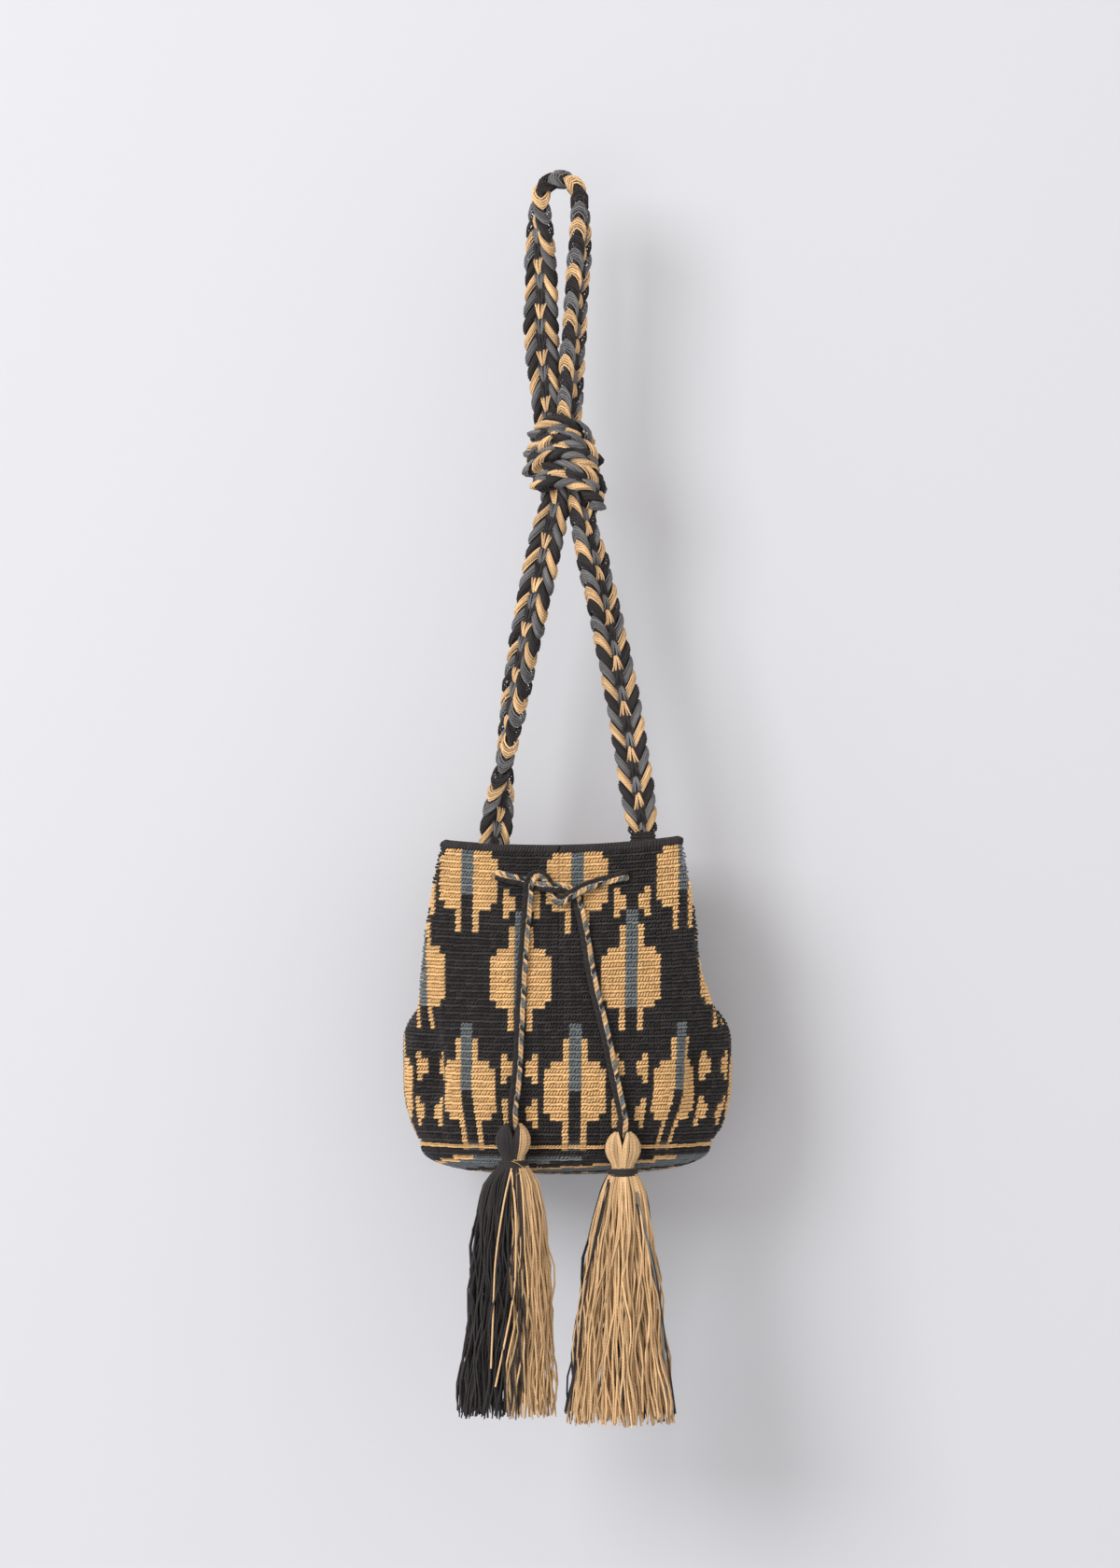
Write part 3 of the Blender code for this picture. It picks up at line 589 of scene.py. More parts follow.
@dataclass(frozen=True)
class BagShape:
    """The body's surface, as the CAD body has it."""

    rim_drop: float = 0.4505
    rows: int = 40
    row_height: float = 0.005
    rim_tilt: float = 0.014
    level_at: float = 0.08
    rim_dip: float = 0.72
    base_sag: float = 0.0165
    base_fullness: float = 3.6
    wall: float = 0.0042
    roll_height: float = 0.0040
    fold_fade: tuple[float, float] = (0.072, 0.162)
    fold_floor: float = math.radians(10)
    fold_mouth: float = math.radians(27)
    crease_depth: float = 0.0112
    crease_angle: float = math.radians(34)
    crease_spread: float = math.radians(9)
    crease_height: float = 0.052
    crease_reach: float = 0.030
    end_x: tuple[float, float] = (-0.0455, 0.0562)
    fold_ease: float = 0.0116
    eyelet_height: float = 0.1835
    front_eyelets: tuple[float, float] = (-0.0420, 0.0440)
    back_eyelets: tuple[float, float] = (-0.0270, 0.0370)
    # Height, then the reach to the left, right, front and back, and how square the plan is.
    plan: tuple[Row, ...] = (
        (0.000, 0.0930, 0.1005, 0.0660, 0.0640, 2.10),
        (0.016, 0.0995, 0.1095, 0.0705, 0.0690, 2.10),
        (0.034, 0.1040, 0.1140, 0.0725, 0.0710, 2.10),
        (0.055, 0.1050, 0.1150, 0.0730, 0.0710, 2.15),
        (0.090, 0.1040, 0.1125, 0.0700, 0.0680, 2.25),
        (0.120, 0.1010, 0.1025, 0.0640, 0.0610, 2.40),
        (0.150, 0.0965, 0.0980, 0.0540, 0.0510, 2.70),
        (0.180, 0.0902, 0.0918, 0.0430, 0.0410, 3.00),
        (0.205, 0.0845, 0.0872, 0.0350, 0.0340, 3.20),
    )

    @property
    def height(self) -> float:
        """The wall's height."""
        return self.rows * self.row_height

    @property
    def bottom(self) -> float:
        """The level of the edge between wall and bottom."""
        return -self.rim_drop - self.height

    @property
    def eyelet_level(self) -> float:
        """The level of the drawstring's holes."""
        return self.bottom + self.eyelet_height

    def eyelets(self) -> list[tuple[float, float]]:
        """Where the four holes are in plan, the two in front first."""
        front = [(x, self.front_y(x, self.eyelet_height)) for x in self.front_eyelets]
        return front + [(x, self.back_y(x, self.eyelet_height)) for x in self.back_eyelets]

    def plan_point(self, angle: float, height: float) -> tuple[float, float]:
        """The smooth outside at an angle from +X and a height.

        Args:
            angle: the angle in plan.
            height: the height over the bottom's edge.

        Returns:
            X and Y.
        """
        left, right, front, back, squareness = spline_at(self.plan, height)
        c, s = math.cos(angle), math.sin(angle)
        power = 2.0 / squareness
        reach = right if c > 0 else left
        x = math.copysign(abs(c) ** power, c) * reach
        y = math.copysign(abs(s) ** power, s) * (back if s > 0 else front)
        fade = smooth_step((height - self.fold_fade[0]) / (self.fold_fade[1] - self.fold_fade[0]))
        depth = (reach - abs(self.end_x[1 if c > 0 else 0]) + self.fold_ease) * fade
        from_side = math.atan2(s, abs(c))
        opened = (abs(from_side) - self.fold_floor) / (self.fold_mouth - self.fold_floor)
        x -= math.copysign(depth * (1.0 - smooth_step(opened)), c)
        near = math.exp(-(((from_side + self.crease_angle) / self.crease_spread) ** 2))
        near *= math.exp(-(((height - self.crease_height) / self.crease_reach) ** 2))
        return x - self.crease_depth * near * c, y - self.crease_depth * near * s

    def point(self, angle: float, height: float, out: float = 0.0) -> Vector:
        """A point of the wall, moved out along its normal, with the mouth's slope and dip.

        Args:
            angle: the angle in plan.
            height: the height over the bottom's edge.
            out: how far it is moved out.

        Returns:
            The point.
        """
        step = 0.02
        x, y = self.plan_point(angle, height)
        ahead, behind = self.plan_point(angle + step, height), self.plan_point(angle - step, height)
        tangent = Vector((ahead[0] - behind[0], ahead[1] - behind[1])).normalized()
        x, y = x + tangent.y * out, y - tangent.x * out
        share = max(height / self.height, 0.0) ** 2
        lift = (self.rim_tilt * x + self.rim_dip * x * x - self.rim_tilt * self.level_at) * share
        return Vector((x, y, self.bottom + height + lift))

    def base_point(self, angle: float, share: float, inset: float = 0.0) -> Vector:
        """A point of the sagging bottom, at a share of its reach.

        Args:
            angle: the angle in plan.
            share: 1 at the edge and 0 in the middle.
            inset: how far inside the outer surface it lies.

        Returns:
            The point.
        """
        edge = self.point(angle, 0.0, -inset)
        sag = self.base_sag * math.sqrt(max(1.0 - share ** self.base_fullness, 0.0))
        return Vector((edge.x * share, edge.y * share, self.bottom - sag + inset))

    def front_y(self, x: float, height: float) -> float:
        """Where the smooth front of the wall is.

        Args:
            x: how far to the right.
            height: the height.

        Returns:
            Its Y.
        """
        left, right, front, _, squareness = spline_at(self.plan, height)
        share = min(abs(x) / (right if x > 0 else left), 1.0)
        return -front * (1.0 - share ** squareness) ** (1.0 / squareness)

    def back_y(self, x: float, height: float) -> float:
        """Where the smooth back of the wall is.

        Args:
            x: how far to the right.
            height: the height.

        Returns:
            Its Y.
        """
        left, right, _, back, squareness = spline_at(self.plan, height)
        share = min(abs(x) / (right if x > 0 else left), 1.0)
        return back * (1.0 - share ** squareness) ** (1.0 / squareness)


@dataclass(frozen=True)
class TapestryPattern:
    """The pattern worked into the rounds: winged bars in two alternating rows, with small marks beside them.

    Each of starts gives the round above a motif's tip, and whether the motif is a plain one, which has marks
    beside it, or one of those between.
    """

    repeat: int = 18
    stitches: int = 144
    rounds: int = 40
    motif_rows: int = 16
    starts: tuple[tuple[int, bool], ...] = ((-5, True), (8, False), (23, True))
    arms: float = 4.0
    arm_phase: float = 0.36
    camel_share: float = 0.16
    grey_share: float = 0.66
    plain_middle: float = 0.25
    plain_edge: float = 0.97

    def colour(self, row: int, column: int) -> Shade:
        """The yarn in view.

        Args:
            row: 1 under the mouth's edge, counted downwards.
            column: stitches to the right of the anchor.

        Returns:
            The stitch's colour.
        """
        if row == self.rounds:
            return Shade.CAMEL
        for start, plain in self.starts:
            within = row - start
            shift = 0 if plain else self.repeat // 2
            place = (column + shift + self.repeat // 2) % self.repeat - self.repeat // 2
            count = place + 1 if place >= 0 else -place
            if 1 <= within <= self.motif_rows:
                found = self.in_motif(within, count, plain, start > 0)
                if found is not Shade.BLACK:
                    return found
        return Shade.BLACK

    @staticmethod
    def in_motif(within: int, count: int, plain: bool, whole: bool) -> Shade:
        """The colour at a row of the motif and a stitch counted from its middle.

        Args:
            within: the motif's row, 1 to 16 from its tip.
            count: the stitch, 1 next to the middle.
            plain: whether its grey bar stops half way and marks stand beside it.
            whole: whether its tip is below the mouth's edge.

        Returns:
            The stitch's colour.
        """
        if within <= 2:
            return Shade.GREY if count == 1 else Shade.BLACK
        if count == 1:
            grey_to = (9 if whole else 11) if plain else 13
            return Shade.GREY if within <= grey_to else Shade.BLACK
        half = 2
        if 6 <= within <= 13:
            half = 4 if within in (6, 13) else 5
        if count <= half:
            return Shade.CAMEL
        low = plain and (within in (11, 14) and count == 7 or within in (12, 13) and count in (7, 8))
        high = plain and whole and (within in (5, 8) and count == 7 or within in (6, 7) and count in (7, 8))
        return Shade.CAMEL if low or high else Shade.BLACK

    def base_colour(self, turn: float, share: float) -> Shade:
        """The swirls of the round bottom, at a share of a turn and of the reach.

        Args:
            turn: the share of a turn.
            share: 1 at the edge and 0 in the middle.

        Returns:
            The stitch's colour.
        """
        arm = (turn * self.arms + (1.0 - share) * self.arms + self.arm_phase) % 1.0
        if share < self.plain_middle or arm > self.grey_share or share > self.plain_edge:
            return Shade.BLACK
        return Shade.CAMEL if arm < self.camel_share else Shade.GREY


@dataclass
class CrochetBody:
    """The crocheted body: a closed cloth shell, every stitch of its outside, and its rolled edge."""

    shape: BagShape
    pattern: TapestryPattern
    yarns: Yarns
    tubes: TubeNodes
    front_pitch: float = 0.00413
    front_stitches: int = 54
    anchor_top: float = 0.0119
    anchor_drift: float = -0.0025
    eyelet: float = 0.0098
    eyelet_clear: float = 0.0040
    edge_tall: float = 0.50
    base_rounds: int = 28
    gather_height: float = 0.046
    # How far the pattern is drawn sideways, on which side, and the columns where that starts and fades.
    gathers: tuple[tuple[float, int, int, int], ...] = ((0.0050, -1, 5, 22), (-0.0165, 1, 9, 25))
    gather_spans: tuple[int, int] = (12, 24)
    samples: int = 900
    crowding: float = 0.45
    stir: float = 0.00013
    sunk: float = 0.0007
    base_cloth: float = 0.07
    black_tints: tuple[float, float] = (-0.26, 0.40)
    light_tints: tuple[float, float] = (-0.06, 0.14)
    rim_yarn: float = 0.00115

    def round_angles(self, height: float) -> tuple[np.ndarray, np.ndarray]:
        """Where a round's stitches begin.

        Args:
            height: the round's height.

        Returns:
            The angles of the stitch edges and the widths of the stitches, counted from the anchor.
        """
        turns = np.linspace(math.pi * 0.5, math.pi * 2.5, self.samples + 1)
        turns += self.crowding * np.sin(2 * turns)  # closer together where the plan is flattest
        places = np.array([self.shape.point(a, height) for a in turns])
        lengths = np.concatenate([[0.0], np.cumsum(np.linalg.norm(np.diff(places, axis=0), axis=1))])
        total = lengths[-1]
        anchor = self.anchor_top + self.anchor_drift * (1.0 - height / self.shape.height)
        front = (turns > math.radians(225)) & (turns < math.radians(315))
        start = float(np.interp(anchor, places[front, 0], lengths[front]))
        rest = self.pattern.stitches - self.front_stitches
        back_pitch = (total - self.front_stitches * self.front_pitch) / rest
        half = self.front_stitches / 2
        columns = np.arange(-self.pattern.stitches // 2, self.pattern.stitches // 2 + 1, dtype=float)
        inner = np.clip(columns, -half, half)
        reach = inner * self.front_pitch + (columns - inner) * back_pitch
        low = smooth_step(1.0 - height / self.gather_height)
        for shift, way, *edges in self.gathers:
            rise, fall = (np.clip((columns * way - edge) / span, 0.0, 1.0)
                          for edge, span in zip(edges, self.gather_spans))
            reach += low * shift * rise * (1.0 - fall)
        angles = np.interp((start + reach) % total, lengths, turns)
        return angles, np.diff(reach)

    def frame_at(self, place: Callable[[float, float], Vector], u: float, v: float) -> tuple[Vector, Matrix]:
        """A point of a surface and the turn that lays a stitch on it.

        Args:
            place: the surface, by two coordinates: along the round and up from the centre.
            u: the first coordinate.
            v: the second.

        Returns:
            The point, and a matrix whose columns run along the round, up and outwards.
        """
        aside, above = 0.012, 0.0015
        along = (place(u + aside, v) - place(u - aside, v)).normalized()
        up = (place(u, v + above) - place(u, v - above)).normalized()
        out = along.cross(up).normalized()
        up = out.cross(along)
        return place(u, v), Matrix((along, up, out)).transposed()

    def near_eyelet(self, point: Vector) -> bool:
        """Whether a point is at one of the drawstring's holes.

        Args:
            point: the point.

        Returns:
            True where a stitch would stand in the hole.
        """
        holes = self.shape.front_eyelets if point.y < 0 else self.shape.back_eyelets
        rise = point.z - self.shape.eyelet_level
        return any(math.hypot(point.x - x, rise) < self.eyelet_clear for x in holes)

    def wall_stitches(self) -> dict[Shade, list[Placed]]:
        """Every stitch of the wall by colour.

        Returns:
            The stitches' places, turns and sizes.
        """
        found: dict[Shade, list[Placed]] = {shade: [] for shade in Shade}
        for row in range(1, self.shape.rows + 1):
            height = self.shape.height - (row - 0.5) * self.shape.row_height
            angles, widths = self.round_angles(height)
            for i, width in enumerate(widths):
                a, b = angles[i], angles[i + 1]
                b += 2 * math.pi if b < a - math.pi else 0.0
                point, turn = self.frame_at(self.shape.point, (a + b) / 2, height)
                if self.near_eyelet(point):
                    continue
                shade = self.pattern.colour(row, i - self.pattern.stitches // 2)
                tall = self.edge_tall if row == self.shape.rows else 1.0
                found[shade].append((point, turn, Vector((width / self.front_pitch, tall, 1.0))))
        return found

    def base_stitches(self) -> dict[Shade, list[Placed]]:
        """The stitches of the round bottom by colour, in rounds of even depth.

        Returns:
            The stitches' places, turns and sizes.
        """
        found: dict[Shade, list[Placed]] = {shade: [] for shade in Shade}
        shares = np.linspace(1.0, 0.0, 400)
        sides = np.array([self.shape.base_point(0.0, share) for share in shares])
        arcs = np.concatenate([[0.0], np.cumsum(np.linalg.norm(np.diff(sides, axis=0), axis=1))])
        tall = float(arcs[-1]) / self.base_rounds / self.shape.row_height
        for number in range(self.base_rounds):
            reach = (number + 0.5) / self.base_rounds
            share = float(np.interp(reach * arcs[-1], arcs, shares))
            count = max(6, round(self.pattern.stitches * share))
            for i in range(count):
                turn = (i + 0.5 * number) / count
                point, frame = self.frame_at(self.shape.base_point, turn * 2 * math.pi, share)
                before, after = (self.shape.base_point((turn + half / count) * 2 * math.pi, share)
                                 for half in (-0.5, 0.5))
                width = (after - before).length / self.front_pitch
                shade = self.pattern.base_colour(turn, 1.0 - reach)
                found[shade].append((point, frame, Vector((width, tall, 1.0))))
        return found

    def cloud(self, name: str, stitches: list[Placed]) -> bpy.types.Mesh:
        """Points that carry each stitch's turn, size and tint.

        Args:
            name: the piece that the stitches make.
            stitches: their places, turns and sizes.

        Returns:
            A mesh of points.
        """
        count = len(stitches)
        chance = np.random.default_rng(SEED + count)
        stir = chance.normal(0.0, self.stir, (count, 3))
        mesh = new_mesh(name + "_points", [s[0] + Vector(d) for s, d in zip(stitches, stir)])
        turns = np.ravel([tuple(s[1].to_euler("XYZ")) for s in stitches])
        sizes = np.ravel([tuple(s[2]) for s in stitches])
        tints = chance.uniform(*(self.black_tints if "black" in name else self.light_tints), count)
        mesh.attributes.new("turn", "FLOAT_VECTOR", "POINT").data.foreach_set("vector", turns)
        mesh.attributes.new("size", "FLOAT_VECTOR", "POINT").data.foreach_set("vector", sizes)
        mesh.attributes.new("tint", "FLOAT", "POINT").data.foreach_set("value", tints)
        return mesh

    def shell(self) -> bpy.types.Object:
        """The cloth under the stitches: closed, with the inside, the bottom and four round holes.

        Returns:
            The piece.
        """
        rows, count = self.shape.rows, self.pattern.stitches
        outside, cells = [], []
        for row in range(rows, 0, -1):
            outside.append((self.shape.height - row * self.shape.row_height, -self.sunk))
            seen = row if row < rows else 0  # the last round's yarn is thin, and black shows round it
            cells.append([self.pattern.colour(seen, i - count // 2) for i in range(count)])
        outside += [(self.shape.height, -self.sunk), (self.shape.height + 0.0022, -0.0016)]
        rings, cloth = [], []
        shares = (0.25, 0.5, 0.7, 0.85, 0.95)
        edge = self.round_angles(0.0)[0][:-1]
        for share in shares:
            rings.append([self.shape.base_point(a, share, self.sunk) for a in edge])
            cloth.append(-self.base_cloth * (1.0 - share))
        for height, out in outside:
            angles = self.round_angles(height)[0][:-1]
            rings.append([self.shape.point(a, height, out) for a in angles])
            cloth.append(height)
        for step in range(rows // 2 + 1):
            height = self.shape.height * (1.0 - step / (rows // 2)) + (0.0015 if step == 0 else 0.0)
            angles = self.round_angles(height)[0][:-1]
            rings.append([self.shape.point(a, max(height, 0.003), -self.shape.wall) for a in angles])
            cloth.append(height)
        for share in shares[::-1]:
            rings.append([self.shape.base_point(a, share * 0.985, self.shape.wall) for a in edge])
            cloth.append(-self.base_cloth * (1.0 - share))
        centre = Vector((0.0, 0.0, self.shape.bottom - self.shape.base_sag))
        points = [p for ring in rings for p in ring]
        points += [centre + Vector((0.0, 0.0, rise)) for rise in (self.sunk, self.shape.wall)]
        faces, colours = [], []
        inside = len(shares) + len(outside)
        for number in range(len(rings) - 1):
            level = number - len(shares) if number < inside else rows - 1 - (number - inside) * 2
            low, high = number * count, (number + 1) * count
            for i in range(count):
                j = (i + 1) % count
                faces.append((low + i, low + j, high + j, high + i))
                shade = cells[level][i] if 0 <= level < rows else Shade.BLACK
                colours.append((*shade.value, 1.0))
        last = (len(rings) - 1) * count
        for i in range(count):
            j = (i + 1) % count
            faces.append((j, i, len(points) - 2))
            faces.append((last + i, last + j, len(points) - 1))
            colours += [(*Shade.BLACK.value, 1.0)] * 2
        mesh = new_mesh("crochet_cloth", points, faces)
        mesh.attributes.new("cell", "FLOAT_COLOR", "FACE").data.foreach_set("color", np.ravel(colours))
        flat = [(i % count * self.front_pitch, level, 0.0) for level in cloth for i in range(count)]
        flat += [(0.0, -self.base_cloth, 0.0)] * 2
        mesh.attributes.new("cloth", "FLOAT_VECTOR", "POINT").data.foreach_set("vector", np.ravel(flat))
        # the cloth shows the stitches' own yarn colours, darkened by painted shade
        finish = ClothFinish("crochet_between_stitches", self.shape.row_height, self.front_pitch)
        mesh.materials.append(finish.material())
        return self.pierced(new_object("crochet_cloth", mesh))

    def pierced(self, body: bpy.types.Object) -> bpy.types.Object:
        """Cuts the drawstring's holes and keeps the result as a plain mesh.

        Args:
            body: the cloth.

        Returns:
            The same object.
        """
        points, faces = [], []
        sides, radius, depths = 16, self.eyelet / 2, (-0.011, 0.008)
        for x, y in self.shape.eyelets():
            start = len(points)
            for depth in depths:
                for i in range(sides):
                    around = 2 * math.pi * i / sides
                    points.append((x + radius * math.cos(around), y + depth,
                                   self.shape.eyelet_level + radius * math.sin(around)))
            end = start + sides
            faces += [(start + i, start + (i + 1) % sides, end + (i + 1) % sides, end + i)
                      for i in range(sides)]
            faces.append(tuple(range(end - 1, start - 1, -1)))
            faces.append(tuple(range(end, end + sides)))
        mesh = new_mesh("holes", points, faces)
        mesh.update()
        cutter = new_object("holes", mesh)
        cut = body.modifiers.new("holes", "BOOLEAN")
        cut.operation = "DIFFERENCE"
        cut.solver = "EXACT"
        cut.object = cutter
        graph = bpy.context.evaluated_depsgraph_get()
        result = bpy.data.meshes.new_from_object(body.evaluated_get(graph))
        result.name = "crochet_cloth"
        result.shade_smooth()
        body.modifiers.clear()
        body.data = result
        bpy.data.objects.remove(cutter, do_unlink=True)
        LOG.info("%s: %d faces", body.name, len(result.polygons))
        return body

    def rim(self) -> bpy.types.Object:
        """The mouth's edge, oversewn with slanted turns of black yarn.

        Returns:
            The piece.
        """
        height = self.shape.height
        angles, widths = self.round_angles(height)
        chance = np.random.default_rng(SEED)
        lines: Lines = []
        deep, tall, middle = 0.0032, 0.0022, 0.0018
        for i in range(len(widths)):
            a, b = angles[i], angles[i + 1]
            b += 2 * math.pi if b < a - math.pi else 0.0
            for half in (0.0, 0.5):
                points = []
                for k in range(8):
                    t = k / 7
                    around = math.radians(-60 + 300 * t)
                    out = -self.shape.wall / 2 + deep * math.cos(around)
                    rise = middle + tall * math.sin(around)
                    points.append(self.shape.point(a + (b - a) * (half + 0.9 * t), height + rise, out))
                thick = [0.8] + [1.0] * 6 + [0.8]
                lines.append((points, thick, float(chance.uniform(-0.15, 0.15))))
        return self.tubes.lay("rim_roll", lines, self.rim_yarn, self.yarns.of(Shade.BLACK))

    def build(self) -> None:
        """Makes the shell, the stitches and the edge, and hangs them on the bag."""
        shell = self.shell()
        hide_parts("bag_body")
        pieces = [shell, self.rim()]
        nodes = StitchNodes()
        stitch = StitchShape(width=self.front_pitch).build()
        wall, base = self.wall_stitches(), self.base_stitches()
        half = len(wall[Shade.BLACK]) // 2
        lots = {
            "black_stitches_upper": (Shade.BLACK, wall[Shade.BLACK][:half]),
            "black_stitches_lower": (Shade.BLACK, wall[Shade.BLACK][half:]),
            "camel_stitches": (Shade.CAMEL, wall[Shade.CAMEL]),
            "grey_stitches": (Shade.GREY, wall[Shade.GREY]),
            "base_black_stitches": (Shade.BLACK, base[Shade.BLACK]),
            "base_camel_stitches": (Shade.CAMEL, base[Shade.CAMEL]),
            "base_grey_stitches": (Shade.GREY, base[Shade.GREY]),
        }
        for name, (shade, stitches) in lots.items():
            inputs = {"Stitch": stitch, "Seed": SEED, "Unevenness": 0.11, "Material": self.yarns.of(shade)}
            pieces.append(baked(name, self.cloud(name, stitches), nodes.group, inputs))
            if shade is not Shade.GREY:
                f"{shade.name.lower()}_yarn"
        bpy.data.objects.remove(stitch, do_unlink=True)
        for piece in pieces:
            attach(piece, "bag")


class Band:
    """A flat band along a route, readable at any length, offset across and outwards."""

    def __init__(
        self, rows: Sequence[Row], faces: Sequence[Vector], width: float, step: float = 0.0015
    ) -> None:
        """Reads the route evenly.

        Args:
            rows: x, y, z and width share along the route.
            faces: the way that the band's face looks, at each row.
            width: the full width.
            step: how finely the route is read.
        """
        joined = [(*row, *face) for row, face in zip(rows, faces)]
        table = np.array(even_path(joined, step))
        self.points = table[:, :3]
        self.half = table[:, 3] * width / 2
        tangents = np.gradient(self.points, axis=0)
        tangents /= np.linalg.norm(tangents, axis=1)[:, None]
        faces_now = table[:, 4:7] - tangents * np.sum(table[:, 4:7] * tangents, axis=1)[:, None]
        self.faces = faces_now / np.linalg.norm(faces_now, axis=1)[:, None]
        self.sides = np.cross(tangents, self.faces)
        steps = np.linalg.norm(np.diff(self.points, axis=0), axis=1)
        self.lengths = np.concatenate([[0.0], np.cumsum(steps)])

    @property
    def length(self) -> float:
        """The band's whole length."""
        return float(self.lengths[-1])

    def at(self, along: float, across: float, out: float, inset: float = 0.0) -> Vector:
        """A point of the band.

        Args:
            along: the length from its start.
            across: from -1 at one edge to 1 at the other.
            out: metres off the middle, towards its face.
            inset: how much narrower than the full half width to measure across.

        Returns:
            The point.
        """
        s = min(max(along, 0.0), self.length)
        values = [np.array([np.interp(s, self.lengths, column) for column in table.T])
                  for table in (self.points, self.sides, self.faces)]
        half = float(np.interp(s, self.lengths, self.half)) - inset
        return Vector(values[0] + values[1] * across * half + values[2] * out)


@dataclass
class Braid:
    """A flat braid of yarn bundles: two lobes of slanted bundles that meet in forward-pointing chevrons."""

    thickness: float
    bundle: float
    chevron: float
    strands: int
    radius: float
    cycle: tuple[tuple[Shade, Shade], ...]
    plump: float = 0.0016
    centre: float = 0.36
    unevenness: float = 1.0
    slip: float = 0.08
    lift: float = 0.30
    spread: tuple[float, float] = (0.10, 0.80)
    edge_thickening: float = 0.35
    centre_thickness: float = 1.25
    tints: tuple[float, float] = (-0.36, 0.24)

    def lobe_course(self) -> list[Triple]:
        """One yarn's course round a lobe, as length ahead, share across and height off the middle.

        Returns:
            The course, from the centre line in front to the centre line behind.
        """
        top = self.thickness / 2 - self.radius
        ahead = self.chevron
        front = [
            (ahead * 1.10, self.centre * 0.70, top - self.radius * 3.2),
            (ahead * 0.94, self.centre * 1.15, top - self.radius * 0.9),
            (ahead * 0.70, self.centre * 1.15 + 0.16, top + self.plump * 0.45),
            (ahead * 0.42, 0.76, top + self.plump * 0.50),
            (ahead * 0.16, 0.92, top * 0.68),
        ]
        return front + [(0.0, 1.0, 0.0)] + [(s, u, -d) for s, u, d in front[::-1]]

    def centre_course(self) -> list[Triple]:
        """One yarn's course over the middle, spreading from beside the centre line to the lobe.

        Returns:
            The course, in the same values.
        """
        top = self.thickness / 2 - self.radius
        half = self.bundle * 0.50
        return [(-half, 0.10, top - self.radius * 2.2), (-half * 0.7, 0.25, top + self.plump * 0.10),
                (0.0, 0.60, top + self.plump * 0.45), (half * 0.6, 0.95, top + self.plump * 0.10),
                (half, 1.20, top - self.radius * 2.2)]

    def lines(self, band: Band, phase: int = 0, swap_at: float = math.inf) -> dict[Shade, Lines]:
        """The yarns of a braid along a band: the lobes' bundles, and those that cross in the middle.

        Args:
            band: the band that they follow.
            phase: where the colours start.
            swap_at: the length from which the lobes change places.

        Returns:
            The lines by colour.
        """
        chance = np.random.default_rng(SEED + phase)
        found: dict[Shade, Lines] = {}
        for number in range(-2, math.ceil(band.length / self.bundle) + 1):
            shades = self.cycle[(number + phase) % len(self.cycle)]
            if number * self.bundle > swap_at:
                shades = shades[::-1]
            loose = self.unevenness * chance.uniform(-1.0, 1.0, 8)
            for lobe, shade in zip((-1, 1), shades):
                slip = self.slip * self.bundle * float(loose[1 + lobe])
                lift = self.lift * self.plump * float(loose[2 + lobe])
                for strand in range(self.strands):
                    place = (strand + 0.5) / self.strands
                    proud = self.plump * (1.0 - (place * 2 - 1) ** 2) + lift
                    proud += (strand % 2) * self.radius * 0.3
                    start = (number + self.spread[0] + self.spread[1] * place) * self.bundle + slip
                    rows = [
                        (start + s, u * lobe, d + math.copysign(proud, d) if d else 0.0, proud * 0.6,
                         1.0 + self.edge_thickening * u ** 6)
                        for s, u, d in self.lobe_course()]
                    self.add(found, shade, band, rows, chance)
            yarns = max(1, self.strands // 2)
            for face, lobe in ((-1, -1), (-1, 1), (1, -1), (1, 1)):
                for strand in range(yarns):
                    place = (strand + 0.5) / yarns
                    start = (number + 2.0 + 0.10 * float(loose[5 + lobe])) * self.bundle + self.chevron * 0.5
                    rows = [(start + s, lobe * self.centre * (0.10 + place * u), face * d, 0.0,
                             self.centre_thickness)
                            for s, u, d in self.centre_course()]
                    self.add(found, shades[0] if lobe < 0 else shades[1], band, rows, chance)
        return found

    def add(
        self, found: dict[Shade, Lines], shade: Shade, band: Band, rows: list[tuple[float, ...]],
        chance: np.random.Generator,
    ) -> None:
        """Adds one yarn to the lines of its colour, as far as it lies on the band.

        Args:
            found: the lines so far.
            shade: the yarn's colour.
            band: what it lies on.
            rows: length along, share across, height off the middle, the edge's bulge, and thickness.
            chance: the source of its tint.
        """
        points, thick = [], []
        for along, across, out, bulge, size in rows:
            if 0.0 <= along <= band.length:
                points.append(band.at(along, across, out, self.radius - bulge * abs(across)))
                thick.append(size)
        tint = float(chance.uniform(*self.tints))
        if len(points) >= 3:
            found.setdefault(shade, []).append((points, thick, tint))

